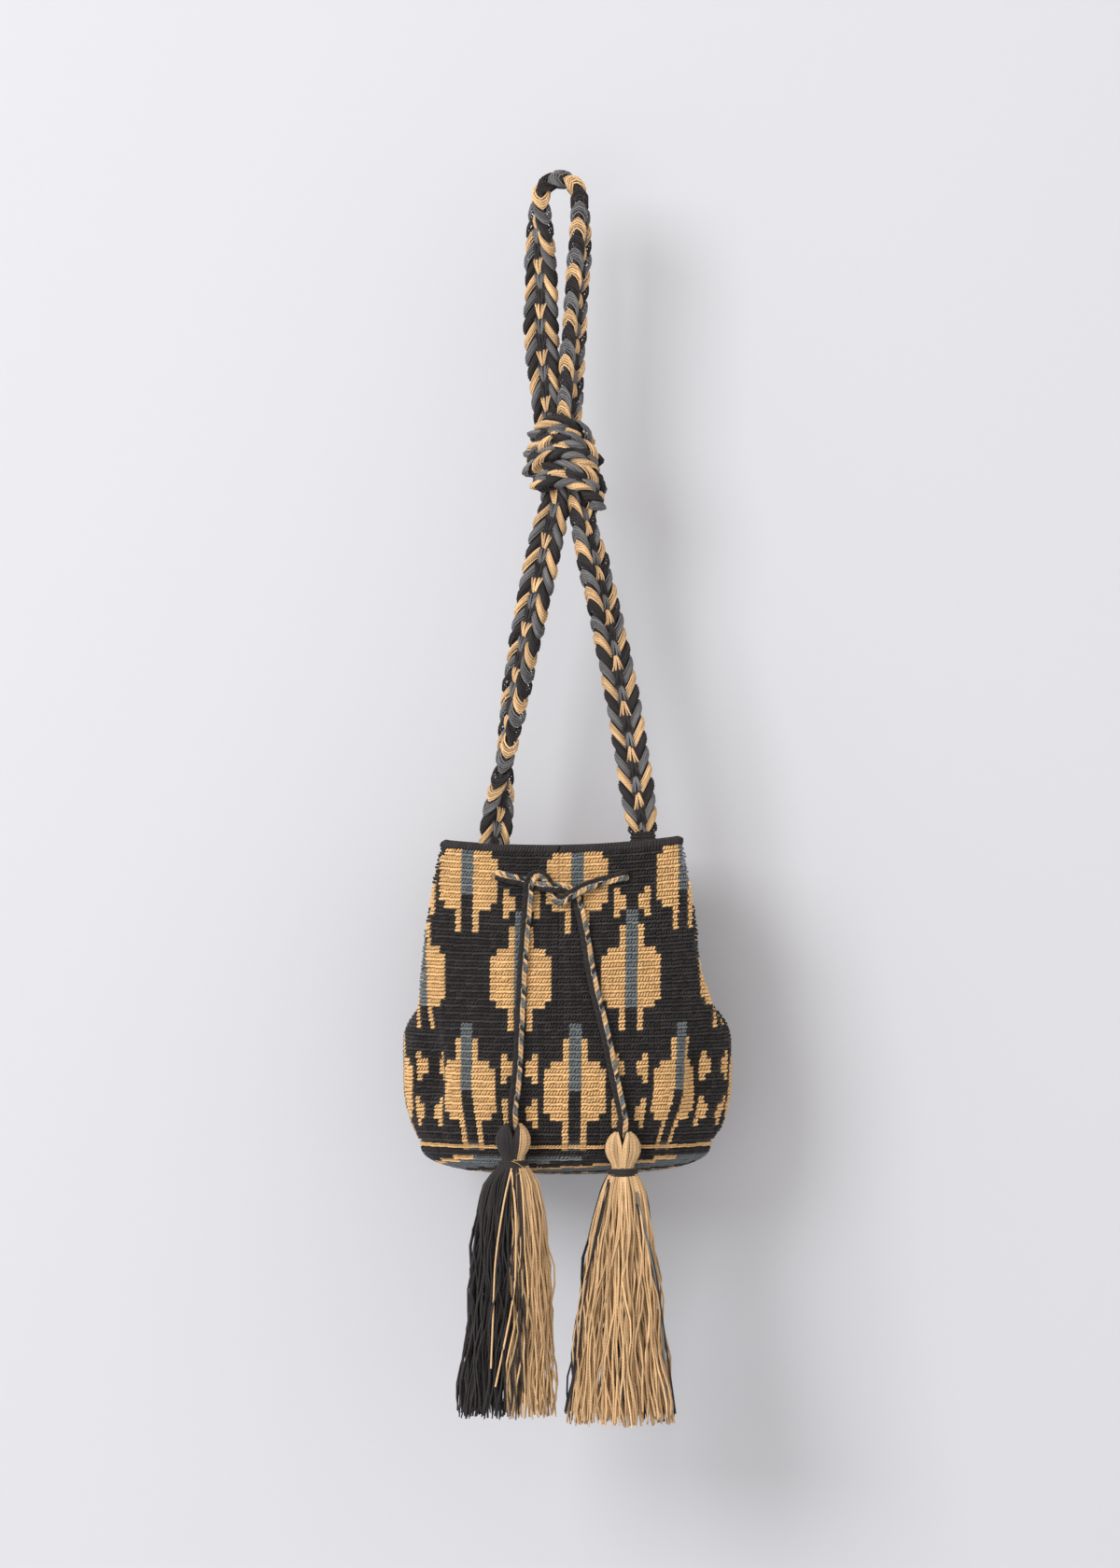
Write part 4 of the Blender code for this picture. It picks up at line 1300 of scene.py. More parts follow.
    def core(self, name: str, band: Band, material: bpy.types.Material) -> bpy.types.Object:
        """The dark inside of the braid, a closed tube that keeps daylight from showing through.

        Args:
            name: the piece's name.
            band: what the braid follows.
            material: its finish.

        Returns:
            The piece.
        """
        points, faces = [], []
        count, around, square = max(8, round(band.length / 0.004)), 8, 0.7
        for k in range(count + 1):
            shrink = 0.75 if k in (0, count) else 1.0
            for i in range(around):
                a = 2 * math.pi * i / around
                c, s = math.cos(a), math.sin(a)
                across = math.copysign(abs(c) ** square, c) * shrink
                out = (self.thickness / 2 - self.radius * 1.6) * math.copysign(abs(s) ** square, s) * shrink
                points.append(band.at(band.length * k / count, across, out, self.radius))
        for k in range(count):
            low, high = k * around, (k + 1) * around
            faces += [(low + i, low + (i + 1) % around, high + (i + 1) % around, high + i)
                      for i in range(around)]
        faces.append(tuple(range(around))[::-1])
        faces.append(tuple(range(count * around, (count + 1) * around)))
        mesh = new_mesh(name, points, faces)
        mesh.shade_smooth()
        mesh.materials.append(material)
        outward = 0
        for face in mesh.polygons:
            nearest = int(np.argmin(np.linalg.norm(band.points - np.array(face.center), axis=1)))
            outward += face.normal.dot(face.center - Vector(band.points[nearest])) > 0
        if outward * 2 < len(mesh.polygons):
            mesh.flip_normals()
        LOG.info("%s: %d faces", name, len(mesh.polygons))
        return new_object(name, mesh)


@dataclass
class Strap:
    """The braided shoulder strap with its overhand knot, and its two whipped ends."""

    yarns: Yarns
    tubes: TubeNodes
    shape: BagShape
    width: float = 0.0225
    thickness: float = 0.0072
    bundle: float = 0.0104
    loop_radius: float = 0.0095
    knot_drop: float = 0.189
    knot_half_depth: float = 0.0150
    knot_band: float = 0.0176
    bow: float = 0.0035
    end_above_rim: tuple[float, float] = (0.001, 0.014)
    end_below_rim: float = 0.028
    end_width: float = 0.0178
    end_thickness: float = 0.0100
    overlap: float = 0.0060
    whipping_yarn: float = 0.0013
    whipping_gap: float = 1.9
    dent_width: float = 0.0030
    dent_depth: float = 0.62
    # How far up a leg, and how far the face has turned there.
    left_turns: tuple[Row, ...] = (
        (0.00, math.pi), (0.08, 2.80), (0.157, 2.15), (0.25, 1.57), (0.36, 1.22), (0.49, 0.87), (0.61, 0.60),
        (0.69, 0.35), (0.82, 0.15), (0.92, 0.12))
    right_turns: tuple[Row, ...] = (
        (0.00, 0.05), (0.12, 0.02), (0.28, 0.00), (0.42, 0.05), (0.55, 0.28), (0.66, 0.55), (0.78, 0.70),
        (0.90, 0.72))
    # The knot: its turn, the middle to the right, half its width, and its height.
    knot_rows: tuple[Row, ...] = (
        (-0.25, 0.0000, 0.0140, 0.0146), (0.00, 0.0003, 0.0150, 0.0121), (0.25, 0.0003, 0.0155, 0.0234),
        (0.50, 0.0003, 0.0160, 0.0084), (0.75, 0.0005, 0.0180, 0.0146), (1.00, 0.0010, 0.0200, 0.0002),
        (1.25, 0.0016, 0.0210, 0.0127), (1.50, 0.0020, 0.0215, -0.0041), (1.75, 0.0030, 0.0200, 0.0021),
        (2.00, 0.0040, 0.0180, -0.0091), (2.25, 0.0066, 0.0182, -0.0075), (2.50, 0.0084, 0.0172, -0.0232),
        (2.75, 0.0080, 0.0140, -0.0262), (3.00, 0.0072, 0.0110, -0.0262))
    knot_turns: tuple[float, float] = (-0.20, 2.86)

    def end_top(self, side: Side) -> Vector:
        """Middle of the braid's end, just above the whipping.

        Args:
            side: which end.

        Returns:
            The point.
        """
        height = self.shape.height + self.shape.roll_height + self.end_above_rim[side.value]
        return Vector((self.shape.end_x[side.value], 0.0, self.shape.bottom + height))

    def leg(self, side: Side, knot_foot: Vector) -> list[Row]:
        """Route rows of one leg, from the whipped end up to the knot.

        Args:
            side: which leg.
            knot_foot: where it goes into the knot.

        Returns:
            Rows of x, y, z, how far the face has turned, and the width as a share.
        """
        foot = self.end_top(side) - Vector((0.0, 0.0, self.overlap))
        rows = []
        for t, turn in (self.right_turns if side is Side.RIGHT else self.left_turns):
            point = foot.lerp(knot_foot, t)
            bow = self.bow * math.sin(math.pi * t) * (1 if side is Side.RIGHT else -1)
            rows.append((point.x + bow, point.y, point.z, turn, 0.98 if t > 0.1 else 0.80 + 1.6 * t))
        return rows

    def route(self) -> list[Row]:
        """The strap's route from its left end, over the top and down to its right end.

        Returns:
            Rows of x, y, z, how far the face has turned, and the width as a share.
        """
        quarter = math.pi / 2
        drop = self.knot_drop
        left_foot = Vector((-0.0035, 0.0, -drop - 0.026))
        right_foot = Vector((0.0160, 0.0, -drop - 0.040))
        rows = self.leg(Side.LEFT, left_foot)
        rows += [
            (*left_foot, 0.15, 0.80), (-0.0062, 0.0, -drop, 0.30, 0.60),
            (-0.0080, 0.002, -drop + 0.026, 0.20, 0.75),
            (-0.0112, 0.002, -0.122, 0.10, 0.96), (-0.0128, 0.001, -0.096, 0.15, 1.00),
            (-0.0124, 0.0, -0.070, 0.32, 0.96), (-0.0135, 0.0, -0.040, 0.78, 0.92)]
        radius = self.loop_radius + self.thickness / 2
        for k in range(5):
            around = math.pi * (1.0 - k / 4)
            height = -self.loop_radius + radius * math.sin(around)
            rows.append((radius * math.cos(around), 0.0, height, quarter, 0.86))
        rows += [
            (0.0138, 0.0, -0.040, 1.15, 0.74), (0.0115, -0.001, -0.072, 0.98, 0.72),
            (0.0097, -0.003, -0.100, 0.92, 0.72), (0.0080, -0.004, -0.126, 0.90, 0.76),
            (0.0066, -0.004, -drop + 0.026, 0.70, 0.66), (0.0085, 0.0, -drop, 0.70, 0.55),
            (*right_foot, 0.72, 0.76)]
        return rows + self.leg(Side.RIGHT, right_foot)[::-1]

    def band(self) -> Band:
        """The route as a band, its face turned as each row says.

        Returns:
            The band.
        """
        rows = self.route()
        faces = []
        for k, row in enumerate(rows):
            ahead = Vector(rows[min(k + 1, len(rows) - 1)][:3]) - Vector(rows[max(k - 1, 0)][:3])
            across = ahead.normalized().cross(Vector((0.0, 1.0, 0.0))).normalized()
            depth = across.cross(ahead.normalized())
            faces.append(depth * math.cos(row[3]) - across * math.sin(row[3]))
        return Band([(*row[:3], row[4]) for row in rows], faces, self.width)

    def coil(self) -> Band:
        """The knot's turns round the doubled strap.

        Returns:
            The band that they follow.
        """
        rows, faces = [], []
        for turn in np.arange(*self.knot_turns, 1 / 16):
            around = math.pi + 2 * math.pi * turn
            middle, half, rise = spline_at(self.knot_rows, turn)
            across, deep = half * math.cos(around), self.knot_half_depth * math.sin(around)
            rows.append((middle + across, deep, rise - self.knot_drop, 1.0))
            faces.append(Vector((across, deep, 0.0)).normalized())
        return Band(rows, faces, self.knot_band)

    def whipping(self, side: Side) -> bpy.types.Object:
        """A strap end bound in black yarn, dented between the braid's two lobes and rounded at its top.

        Args:
            side: which end.

        Returns:
            The piece.
        """
        top = self.end_top(side)
        low = self.shape.bottom + self.shape.height - self.end_below_rim
        yarn, per_turn, square = self.whipping_yarn, 20, 0.75
        steps = round((top.z - low) / (yarn * self.whipping_gap)) * per_turn
        points = []
        for k in range(steps + 1):
            around = 2 * math.pi * k / per_turn
            c, s = math.cos(around), math.sin(around)
            round_off = math.sqrt(1.0 - 0.75 * max(0.0, k / steps * 5.0 - 4.0) ** 2)
            x = math.copysign(abs(c) ** square, c) * (self.end_width / 2 - yarn) * round_off
            dent = 1.0 - self.dent_depth * math.exp(-((x / self.dent_width) ** 2))
            y = math.copysign(abs(s) ** square, s) * (self.end_thickness / 2 - yarn) * dent * round_off
            points.append(Vector((top.x + x, y, low + yarn + (top.z - low - 2 * yarn) * k / steps)))
        name = f"{side.name.lower()}_end_whipping"
        return self.tubes.wind(name, points, yarn, self.yarns.of(Shade.BLACK), 6)

    def plug(self, side: Side) -> bpy.types.Object:
        """The bound yarns inside a whipping, closing it above and below.

        Args:
            side: which end.

        Returns:
            The piece.
        """
        top = self.end_top(side)
        low = self.shape.bottom + self.shape.height - self.end_below_rim
        band = Band([(top.x, 0.0, low + (top.z - low - 0.003) * t, 1.0) for t in (0.0, 0.5, 1.0)],
                    [Vector((0.0, -1.0, 0.0))] * 3, self.end_width * 0.80)
        braid = Braid(self.end_thickness * 0.70, bundle=0.01, chevron=0.01, strands=1, radius=0.0006,
                      cycle=((Shade.BLACK, Shade.BLACK),))
        return braid.core(f"{side.name.lower()}_end_plug", band, self.yarns.of(Shade.BLACK))

    def build(self) -> None:
        """Makes the braid, the knot and the ends, and hangs them on the bag."""
        cycle = tuple((shade, shade) for shade in (Shade.SAND, Shade.BLACK, Shade.ASH))
        loose = Braid(self.thickness, self.bundle, chevron=0.0112, strands=5, radius=0.00059, cycle=cycle)
        tied = Braid(self.thickness, bundle=0.0122, chevron=0.0108, strands=6, radius=0.00064, cycle=cycle,
                     plump=0.0021, unevenness=1.8)
        pieces = []
        for part, band, braid, phase in (("strap", self.band(), loose, 0), ("knot", self.coil(), tied, 1)):
            core = braid.core(f"{part}_core", band, self.yarns.of(Shade.BLACK))
            pieces.append(core)
            for shade, lines in braid.lines(band, phase).items():
                name = f"{part}_{shade.name.lower()}_yarns"
                pieces.append(self.tubes.lay(name, lines, braid.radius, self.yarns.of(shade)))
        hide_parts("strap")
        for side in Side:
            ends = [self.whipping(side), self.plug(side)]
            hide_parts(f"{side.name.lower()}_strap_end")
            pieces += ends
        for piece in pieces:
            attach(piece, "bag")


@dataclass
class Drawstring:
    """The flat braided drawstring through the four holes, half knotted in front."""

    yarns: Yarns
    tubes: TubeNodes
    shape: BagShape
    ends: tuple[Vector, Vector]
    width: float = 0.0066
    thickness: float = 0.0032
    end_clear: float = 0.0100
    runs: tuple[Shade, ...] = (
        Shade.SAND, Shade.SAND, Shade.SAND, Shade.GREY, Shade.GREY, Shade.SAND, Shade.BLACK, Shade.GREY)
    near: float = 0.0041
    mid: float = 0.0070
    far: float = 0.0106

    def on_front(self, rows: Iterable[Row]) -> list[Row]:
        """Rows of x, height under the rim and distance off the wall, as points."""
        rim = -self.shape.rim_drop
        return [(x, self.shape.front_y(x, rim + z - self.shape.bottom) - off, rim + z) for x, z, off in rows]

    def through(self, x: float, y: float) -> list[Row]:
        """Points through a hole, in from outside.

        Args:
            x: how far to the right the hole is.
            y: where the wall's outside is.

        Returns:
            Three points.
        """
        level = self.shape.eyelet_level
        out = math.copysign(1.0, y)
        middle = y - out * self.shape.wall / 2
        lean = math.copysign(0.0014, -x)
        return [(x + lean, middle + out * 0.0078, level), (x, middle, level),
                (x + lean * 0.5, middle - out * 0.0070, level)]

    def route(self) -> list[Row]:
        """The whole route from the left tassel to the right one.

        Returns:
            Its points.
        """
        near, mid, far = self.near, self.mid, self.far
        first = self.on_front([
            (-0.0335, -0.0185, 0.0050), (-0.0262, -0.0200, near), (-0.0206, -0.0218, near),
            (-0.0140, -0.0236, mid), (-0.0062, -0.0242, far), (0.0012, -0.0248, mid),
            (0.0078, -0.0272, near), (0.0118, -0.0350, near)])
        second = self.on_front([
            (0.0345, -0.0185, 0.0050), (0.0250, -0.0212, near), (0.0160, -0.0245, mid),
            (0.0082, -0.0286, far), (0.0018, -0.0330, mid), (-0.0036, -0.0312, 0.0056),
            (-0.0068, -0.0246, near), (-0.0094, -0.0186, near), (-0.0146, -0.0158, mid),
            (-0.0192, -0.0178, far), (-0.0210, -0.0232, far), (-0.0212, -0.0300, mid)])
        left_tail = self.on_front([
            (-0.0228, -0.048, near), (-0.0252, -0.080, 0.0040), (-0.0270, -0.115, 0.0040),
            (-0.0288, -0.150, 0.0044)])
        right_tail = self.on_front([
            (0.0160, -0.052, near), (0.0215, -0.085, 0.0040), (0.0300, -0.120, 0.0040),
            (0.0368, -0.153, 0.0044)])
        level = self.shape.eyelet_level
        holes = [self.through(x, y) for x, y in self.shape.eyelets()]
        half = self.end_clear + self.shape.wall
        low, high = self.shape.end_x[0] + half, self.shape.end_x[1] - half
        round_left = [(low + x, y, level) for x, y in ((0.0080, -0.012), (0.0075, 0.002), (0.0060, 0.016))]
        round_right = [(high - x, y, level) for x, y in ((0.0060, 0.016), (0.0070, 0.002), (0.0075, -0.012))]
        behind = self.shape.eyelet_height
        back = [(x, self.shape.back_y(x, behind) + 0.0062, level) for x in (-0.012, 0.004, 0.022)]
        left, right = self.ends
        up = [(left.x, left.y, left.z + rise) for rise in (0.0003, 0.007, 0.015)] + left_tail[::-1]
        down = right_tail + [(right.x, right.y, right.z + rise) for rise in (0.015, 0.007, 0.0003)]
        inside = round_right[::-1] + holes[3][::-1] + back[::-1] + holes[2] + round_left[::-1]
        return up + second[::-1] + holes[1] + inside + holes[0][::-1] + first + down

    def band(self) -> Band:
        """The route as a flat band that lies against what it runs along.

        Returns:
            The band.
        """
        rows = even_path(self.route(), 0.003)
        points = [Vector(row) for row in rows]
        faces: list[Vector] = []
        last = Vector((0.0, -1.0, 0.0))
        for k, point in enumerate(points):
            tangent = (points[min(k + 1, len(points) - 1)] - points[max(k - 1, 0)]).normalized()
            wanted = Vector((0.0, -1.0, 0.0))
            pull = 0.35 * max(1.0 - abs(tangent.dot(wanted)) * 1.2, 0.0)
            last = last * (1.0 - pull) + wanted * pull * (1 if last.dot(wanted) >= 0 else -1)
            last = (last - tangent * last.dot(tangent)).normalized()
            faces.append(last.copy())
        return Band([(*row, 1.0) for row in rows], faces, self.width, 0.0012)

    def build(self) -> None:
        band = self.band()
        cycle = tuple((Shade.BLACK, shade) for shade in self.runs)
        braid = Braid(self.thickness, bundle=0.0030, chevron=0.0034, strands=2, radius=0.00052, cycle=cycle,
                      plump=0.0003, centre=0.12, unevenness=0.5)
        core = braid.core("drawstring_core", band, self.yarns.of(Shade.BLACK))
        yarns = []
        for shade, lines in braid.lines(band, 0, band.length / 2).items():
            name = f"drawstring_{shade.name.lower()}_yarns"
            yarns.append(self.tubes.lay(name, lines, braid.radius, self.yarns.of(shade), 4))
        pieces = [core, *yarns]
        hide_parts("drawstring")
        for piece in pieces:
            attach(piece, "bag")
        LOG.info("drawstring: %.3f m long", band.length)


SKIRTS = {  # distance under the neck, half width, and how far the middle hangs to the right
    Side.LEFT: (
        (0.000, 0.0098, 0.0000), (0.011, 0.0182, -0.0012), (0.030, 0.0238, -0.0018),
        (0.066, 0.0275, -0.0018), (0.102, 0.0295, -0.0020), (0.130, 0.0312, -0.0038),
        (0.168, 0.0335, -0.0050)),
    Side.RIGHT: (
        (0.000, 0.0098, 0.0000), (0.010, 0.0150, 0.0002), (0.021, 0.0180, 0.0000), (0.041, 0.0225, -0.0006),
        (0.081, 0.0278, -0.0016), (0.117, 0.0318, -0.0022), (0.159, 0.0365, -0.0016),
        (0.168, 0.0372, -0.0014)),
}
STRAYS = {  # loose strands over the skirt: how far to the right of the head and under the neck they pass
    Side.LEFT: (
        (Shade.SAND, (
            (-0.001, 0.002), (-0.0062, 0.025), (-0.0115, 0.062), (-0.0132, 0.100), (-0.0146, 0.134))),
        (Shade.SAND, (
            (-0.001, 0.004), (0.0016, 0.030), (0.0018, 0.062), (-0.0003, 0.090), (-0.0116, 0.146))),
        (Shade.BLACK, ((0.004, 0.010), (0.0060, 0.050), (0.0040, 0.100), (0.0070, 0.150))),
    ),
    Side.RIGHT: (
        (Shade.BLACK, (
            (-0.0094, 0.004), (-0.0190, 0.046), (-0.0262, 0.087), (-0.0300, 0.123), (-0.0380, 0.160))),
        (Shade.BLACK, (
            (-0.0090, 0.006), (-0.0165, 0.040), (-0.0290, 0.090), (-0.0325, 0.130), (-0.0350, 0.158))),
        (Shade.GREY, ((0.0090, 0.012), (0.0175, 0.050), (0.0255, 0.095), (0.0290, 0.150))),
        (Shade.BLACK, ((0.0090, 0.020), (0.0205, 0.060), (0.0280, 0.110), (0.0350, 0.160))),
    ),
}
STATIONS = (  # where a skirt's strands bend, as shares of its length
    0.0, 0.015, 0.04, 0.08, 0.13, 0.19, 0.26, 0.34, 0.42, 0.50, 0.58, 0.66, 0.74, 0.81, 0.88, 0.94, 1.0)


@dataclass
class Tassel:
    """A yarn tassel: two hanks folded over the drawstring's end, a bound neck and a loose skirt."""

    side: Side
    yarns: Yarns
    tubes: TubeNodes
    shape: BagShape
    tops: tuple[Row, Row] = ((-0.0312, -0.6325), (0.0418, -0.6380))
    stand_off: float = 0.0165
    head_length: float = 0.0265
    swing_depth: float = 0.0045
    head_half: tuple[float, float] = (0.0118, 0.0122)
    neck_half: float = 0.0088
    skirt_length: float = 0.1680
    flatness: float = 0.62
    cleft: float = 0.0028
    strand: float = 0.00066
    sway: tuple[float, float] = (0.0006, 0.0026)
    sway_room: float = 0.0014
    outer: int = 74
    inner: int = 236
    inner_reach: tuple[float, float] = (0.30, 0.66)
    outside: float = 0.97
    camel_from: tuple[float, float] = (0.38, 0.02)
    odd_camel: float = 0.02
    jitter: float = 0.03
    shortfall: float = 0.065
    tints: tuple[float, float] = (-0.46, 0.26)
    neck_yarn: float = 0.00078
    neck_turns: int = 4
    gilt_radius: float = 0.0003

    @property
    def head(self) -> Vector:
        """The top middle of the head.

        Returns:
            The point.
        """
        x, z = self.tops[self.side.value]
        belly = self.shape.front_y(x, z - self.head_length / 2 - self.shape.bottom)
        return Vector((x, belly - self.stand_off, z))

    @property
    def pivot(self) -> Vector:
        """Where the drawstring ends and the tassel swings."""
        return self.head - Vector((0.0, 0.0, self.swing_depth))

    @property
    def name(self) -> str:
        """The tassel's name, which is its body's too."""
        return f"{self.side.name.lower()}_tassel"

    def outline(self, along: float) -> tuple[float, float]:
        """Half the width and half the depth at a distance down from the top.

        Args:
            along: the distance.

        Returns:
            The two halves.
        """
        width = self.head_half[self.side.value]
        if along < self.head_length:
            t = along / self.head_length
            swell = math.sin(math.pi * min(t * 1.02 + 0.10, 1.0)) ** 0.5
            neck = smooth_step((t - 0.55) / 0.45)
            half = width * swell * (1 - neck) + self.neck_half * neck
            return half, half * 0.95
        half = spline_at(SKIRTS[self.side], along - self.head_length)[0]
        half -= self.sway_room * smooth_step((along - self.head_length) / 0.030)
        return half, self.neck_half + (half - self.neck_half) * self.flatness

    def lean(self, along: float) -> float:
        """How far the skirt's middle hangs to one side."""
        down = along - self.head_length
        return spline_at(SKIRTS[self.side], down)[1] if down > 0 else 0.0

    def strand_line(
        self, around: float, share: float, length: float, chance: np.random.Generator
    ) -> list[Vector]:
        """One strand's points.

        Args:
            around: its place round the tassel, 0 at the right, as an angle.
            share: how far out it lies, 1 on the outside.
            length: how far its skirt hangs, as a share of the full length.
            chance: the source of its waviness.

        Returns:
            The points, from the cleft over the head to the skirt's end.
        """
        head = self.head
        half = 1.0 if math.cos(around) >= 0 else -1.0
        points = []
        if share > self.outside:
            lobe = abs(math.cos(around))
            deep = self.outline(0.004)[1] * math.sin(around)
            fold = ((self.cleft * 0.8, 0.75, -0.0085), (self.cleft + 0.0008, 0.8, -0.0022),
                    (self.cleft + 0.0028 * lobe, 0.85, 0.0004))
            points += [head + Vector((half * x, deep * y, z)) for x, y, z in fold]
            stations = [0.0018, 0.0045, 0.008, 0.012, 0.016, 0.020, 0.0235]
        else:
            stations = [0.018, 0.022]
        stations += [self.head_length + self.skirt_length * s * length for s in STATIONS]
        waves = chance.uniform(0.0, 2 * math.pi, 4)
        size = float(chance.uniform(*self.sway))
        for along in stations:
            wide, deep = self.outline(along)
            split = self.cleft * max(0.0, 1.0 - along / 0.009)
            down = max(0.0, along - self.head_length)
            sway = size * min(down / 0.05, 1.0)
            x = half * split + (wide * share - self.strand - split) * math.cos(around)
            y = (deep * share - self.strand) * math.sin(around)
            x += sway * (math.sin(down / 0.0105 + waves[0]) + 0.7 * math.sin(down / 0.024 + waves[1]))
            y += sway * math.sin(down / 0.013 + waves[2])
            points.append(head + Vector((x + self.lean(along), y, -along)))
        return points

    def shade_of(self, around: float, share: float, chance: np.random.Generator) -> Shade:
        """A strand's colour by where it lies: black and camel halves at the left, camel at the right.

        Args:
            around: its place round the tassel, 0 at the right, as an angle.
            share: how far out it lies, 1 on the outside.
            chance: the source of the odd strand.

        Returns:
            The colour.
        """
        x = math.cos(around) * share
        if self.side is Side.LEFT:
            outer, inner = self.camel_from
            if x > (outer if share > self.outside else inner):
                return Shade.SAND
            if share > self.outside:
                return Shade.BLACK
            return Shade.SAND if chance.random() < self.odd_camel else Shade.BLACK
        if x < -0.98 or (math.sin(around) > 0.2 and x > 0.45):
            return Shade.BLACK
        if math.sin(around) > 0.6:
            return Shade.GREY
        return Shade.SAND

    def strands(self) -> dict[Shade, Lines]:
        """Every strand by colour.

        Returns:
            Their lines.
        """
        chance = np.random.default_rng(SEED + 5 + self.side.value)
        found: dict[Shade, Lines] = {}
        for number in range(self.outer + self.inner):
            if number < self.outer:
                around = 2 * math.pi * (number + 0.5) / self.outer
                share = 1.0
            else:
                around = number * math.pi * (3.0 - math.sqrt(5.0))
                share = self.inner_reach[0] + self.inner_reach[1] * math.sqrt(float(chance.random()))
            around += float(chance.uniform(-self.jitter, self.jitter))
            length = 1.0 - self.shortfall * float(chance.random()) ** 1.6
            shade = self.shade_of(around, share, chance)
            points = self.strand_line(around, share, length, chance)
            thick = [1.0] * (len(points) - 1) + [0.7]
            found.setdefault(shade, []).append((points, thick, float(chance.uniform(*self.tints))))
        for shade, rows in STRAYS[self.side]:
            foot = self.head - Vector((0.0, 0.0, self.head_length))
            laid = []
            for x, down in rows:
                along = self.head_length + down
                wide, deep = self.outline(along)
                across = min(abs(x - self.lean(along)) / wide, 0.98)
                laid.append(foot + Vector((x, -deep * math.sqrt(1.0 - across * across) - 0.0008, -down)))
            points = [Vector(row) for row in even_path(laid, 0.008)]
            found.setdefault(shade, []).append((points, [1.0] * len(points), 0.05))
        return found

    def neck(self) -> bpy.types.Object:
        """The yarn wound round the neck.

        Returns:
            The piece.
        """
        turns, per_turn, yarn = self.neck_turns, 18, self.neck_yarn
        centre = self.head - Vector((0.0, 0.0, self.head_length))
        radius = self.neck_half + yarn * 0.9
        points = []
        for k in range(turns * per_turn + 1):
            around = 2 * math.pi * k / per_turn
            rise = (k / (turns * per_turn) - 0.5) * yarn * 1.7 * turns
            points.append(centre + Vector((radius * math.cos(around), radius * math.sin(around), rise)))
        return self.tubes.wind(f"{self.name}_neck", points, yarn, self.yarns.of(Shade.BLACK), 6)

    def gilt(self) -> bpy.types.Object:
        """A short metallic thread looped at the neck.

        Returns:
            The piece.
        """
        centre = self.head - Vector((0.0, self.neck_half + 0.0024, self.head_length))
        rows = ((-0.001, 0.003), (0.003, 0.0015), (0.0062, -0.001), (0.004, -0.005), (0.0, -0.008),
                (-0.003, -0.0115))
        points = [centre + Vector((x, 0.0, z)) for x, z in rows]
        return self.tubes.wind(
            f"{self.name}_gilt_thread", points, self.gilt_radius, self.yarns.of(Shade.GOLD), 4)

    def build(self) -> None:
        """Makes the tassel and hangs it on its own body."""
        pieces = []
        for shade, lines in self.strands().items():
            name = f"{self.name}_{shade.name.lower()}_strands"
            pieces.append(self.tubes.lay(name, lines, self.strand, self.yarns.of(shade)))
        neck = self.neck()
        hanks = ("black_hank", "camel_hank") if self.side is Side.LEFT else ("left_hank", "right_hank")
        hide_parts(*(f"{self.name}_{hank}" for hank in hanks))
        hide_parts(f"{self.name}_neck_wrap")
        pieces.append(neck)
        if self.side is Side.LEFT:
            pieces.append(self.gilt())
        for piece in pieces:
            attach(piece, self.name)


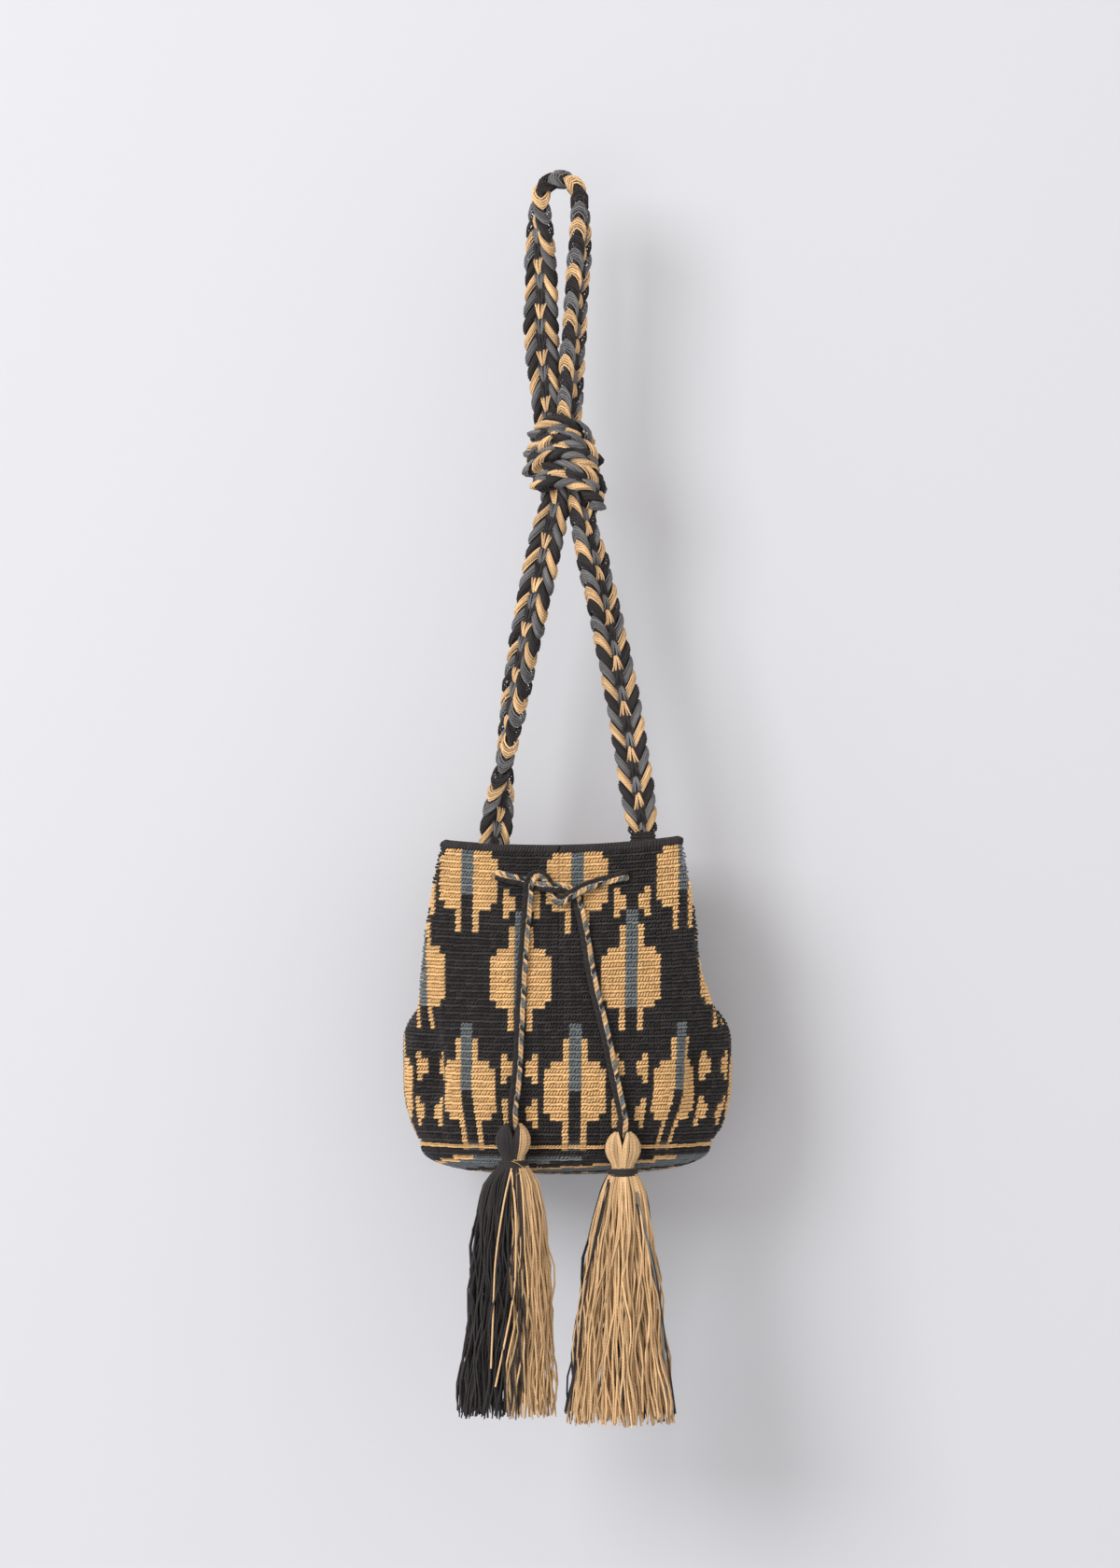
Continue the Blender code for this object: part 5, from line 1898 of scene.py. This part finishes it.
@dataclass
class Studio:
    """The camera, a pale wall and soft light."""

    frame_height: float = 1.05
    middle: float = -0.4056
    distance: float = 5.0
    plane: float = -0.05
    wall_y: float = 0.092
    wall_colour: Triple = (0.556, 0.562, 0.595)
    cove: float = 0.6
    cove_top: float = -1.2
    lamps: tuple[tuple[str, Triple, float, float], ...] = (
        ("key", (-2.85, -3.9, 1.35), 2.2, 168.0), ("fill", (-0.9, -3.9, -1.4), 2.6, 30.0))
    room_colour: Triple = (1.0, 0.965, 0.915)
    room_strength: float = 0.98

    def camera(self) -> None:
        """A level camera with a long lens, square on to the bag."""
        data = bpy.data.cameras.new("camera")
        data.sensor_width = 36.0
        data.lens = 36.0 * self.distance / self.frame_height
        data.clip_end = 40.0
        camera = bpy.data.objects.new("camera", data)
        camera.location = (0.0, self.plane - self.distance, self.middle)
        camera.rotation_euler = (math.pi / 2, 0.0, 0.0)
        bpy.context.scene.collection.objects.link(camera)
        bpy.context.scene.camera = camera

    def backdrop(self) -> None:
        """A wall that curves into a floor far below, clear from behind."""
        rows = [(self.wall_y, 2.0), (self.wall_y, self.cove_top)]
        rows += [(self.wall_y - self.cove + self.cove * math.cos(a), self.cove_top - self.cove * math.sin(a))
                 for a in np.linspace(0.2, math.pi / 2, 8)]
        rows.append((-6.0, self.cove_top - self.cove))
        points = [(x, y, z) for y, z in rows for x in (-5.0, 5.0)]
        faces = [(2 * i + 2, 2 * i + 3, 2 * i + 1, 2 * i) for i in range(len(rows) - 1)]
        mesh = new_mesh("backdrop", points, faces)
        mesh.shade_smooth()
        material, make = node_material("plaster")
        matt = make.add("ShaderNodeBsdfDiffuse", {"Color": (*self.wall_colour, 1.0)})
        clear = make.add("ShaderNodeBsdfTransparent")
        behind = make.add("ShaderNodeNewGeometry").outputs["Backfacing"]
        mixed = make.add("ShaderNodeMixShader", {0: behind, 1: matt.outputs[0], 2: clear.outputs[0]})
        make.add("ShaderNodeOutputMaterial", {"Surface": mixed.outputs[0]})
        mesh.materials.append(material)
        new_object("backdrop", mesh)

    def lamp(self, name: str, place: Row, size: float, power: float) -> None:
        """A soft square lamp aimed at the bag.

        Args:
            name: its name.
            place: where it stands.
            size: the length of its side.
            power: its power in watts.
        """
        data = bpy.data.lights.new(name, "AREA")
        data.size = size
        data.energy = power
        lamp = bpy.data.objects.new(name, data)
        lamp.location = place
        aim = Vector((0.0, 0.0, self.middle - 0.05)) - Vector(place)
        lamp.rotation_euler = aim.to_track_quat("-Z", "Y").to_euler()
        bpy.context.scene.collection.objects.link(lamp)

    def build(self) -> None:
        """Sets the stage."""
        self.camera()
        self.backdrop()
        for lamp in self.lamps:
            self.lamp(*lamp)
        scene = bpy.context.scene
        world = bpy.data.worlds.new("room")
        world.use_nodes = True
        make = NodeMaker(world.node_tree)
        light = {"Color": (*self.room_colour, 1.0), "Strength": self.room_strength}
        sky = make.add("ShaderNodeBackground", light)
        make.add("ShaderNodeOutputWorld", {"Surface": sky.outputs[0]})
        scene.world = world
        scene.view_settings.view_transform = "Standard"


def main() -> None:
    """Builds the whole picture over the frame."""
    logging.basicConfig(level=logging.INFO, format="%(name)s: %(message)s")
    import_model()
    Studio().build()
    yarns, tubes, shape = Yarns(), TubeNodes(), BagShape()
    tassels = [Tassel(side, yarns, tubes, shape) for side in Side]
    Drawstring(yarns, tubes, shape, (tassels[0].pivot, tassels[1].pivot)).build()
    CrochetBody(shape, TapestryPattern(), yarns, tubes).build()
    Strap(yarns, tubes, shape).build()
    for tassel in tassels:
        tassel.build()


if __name__ == "__main__":
    main()
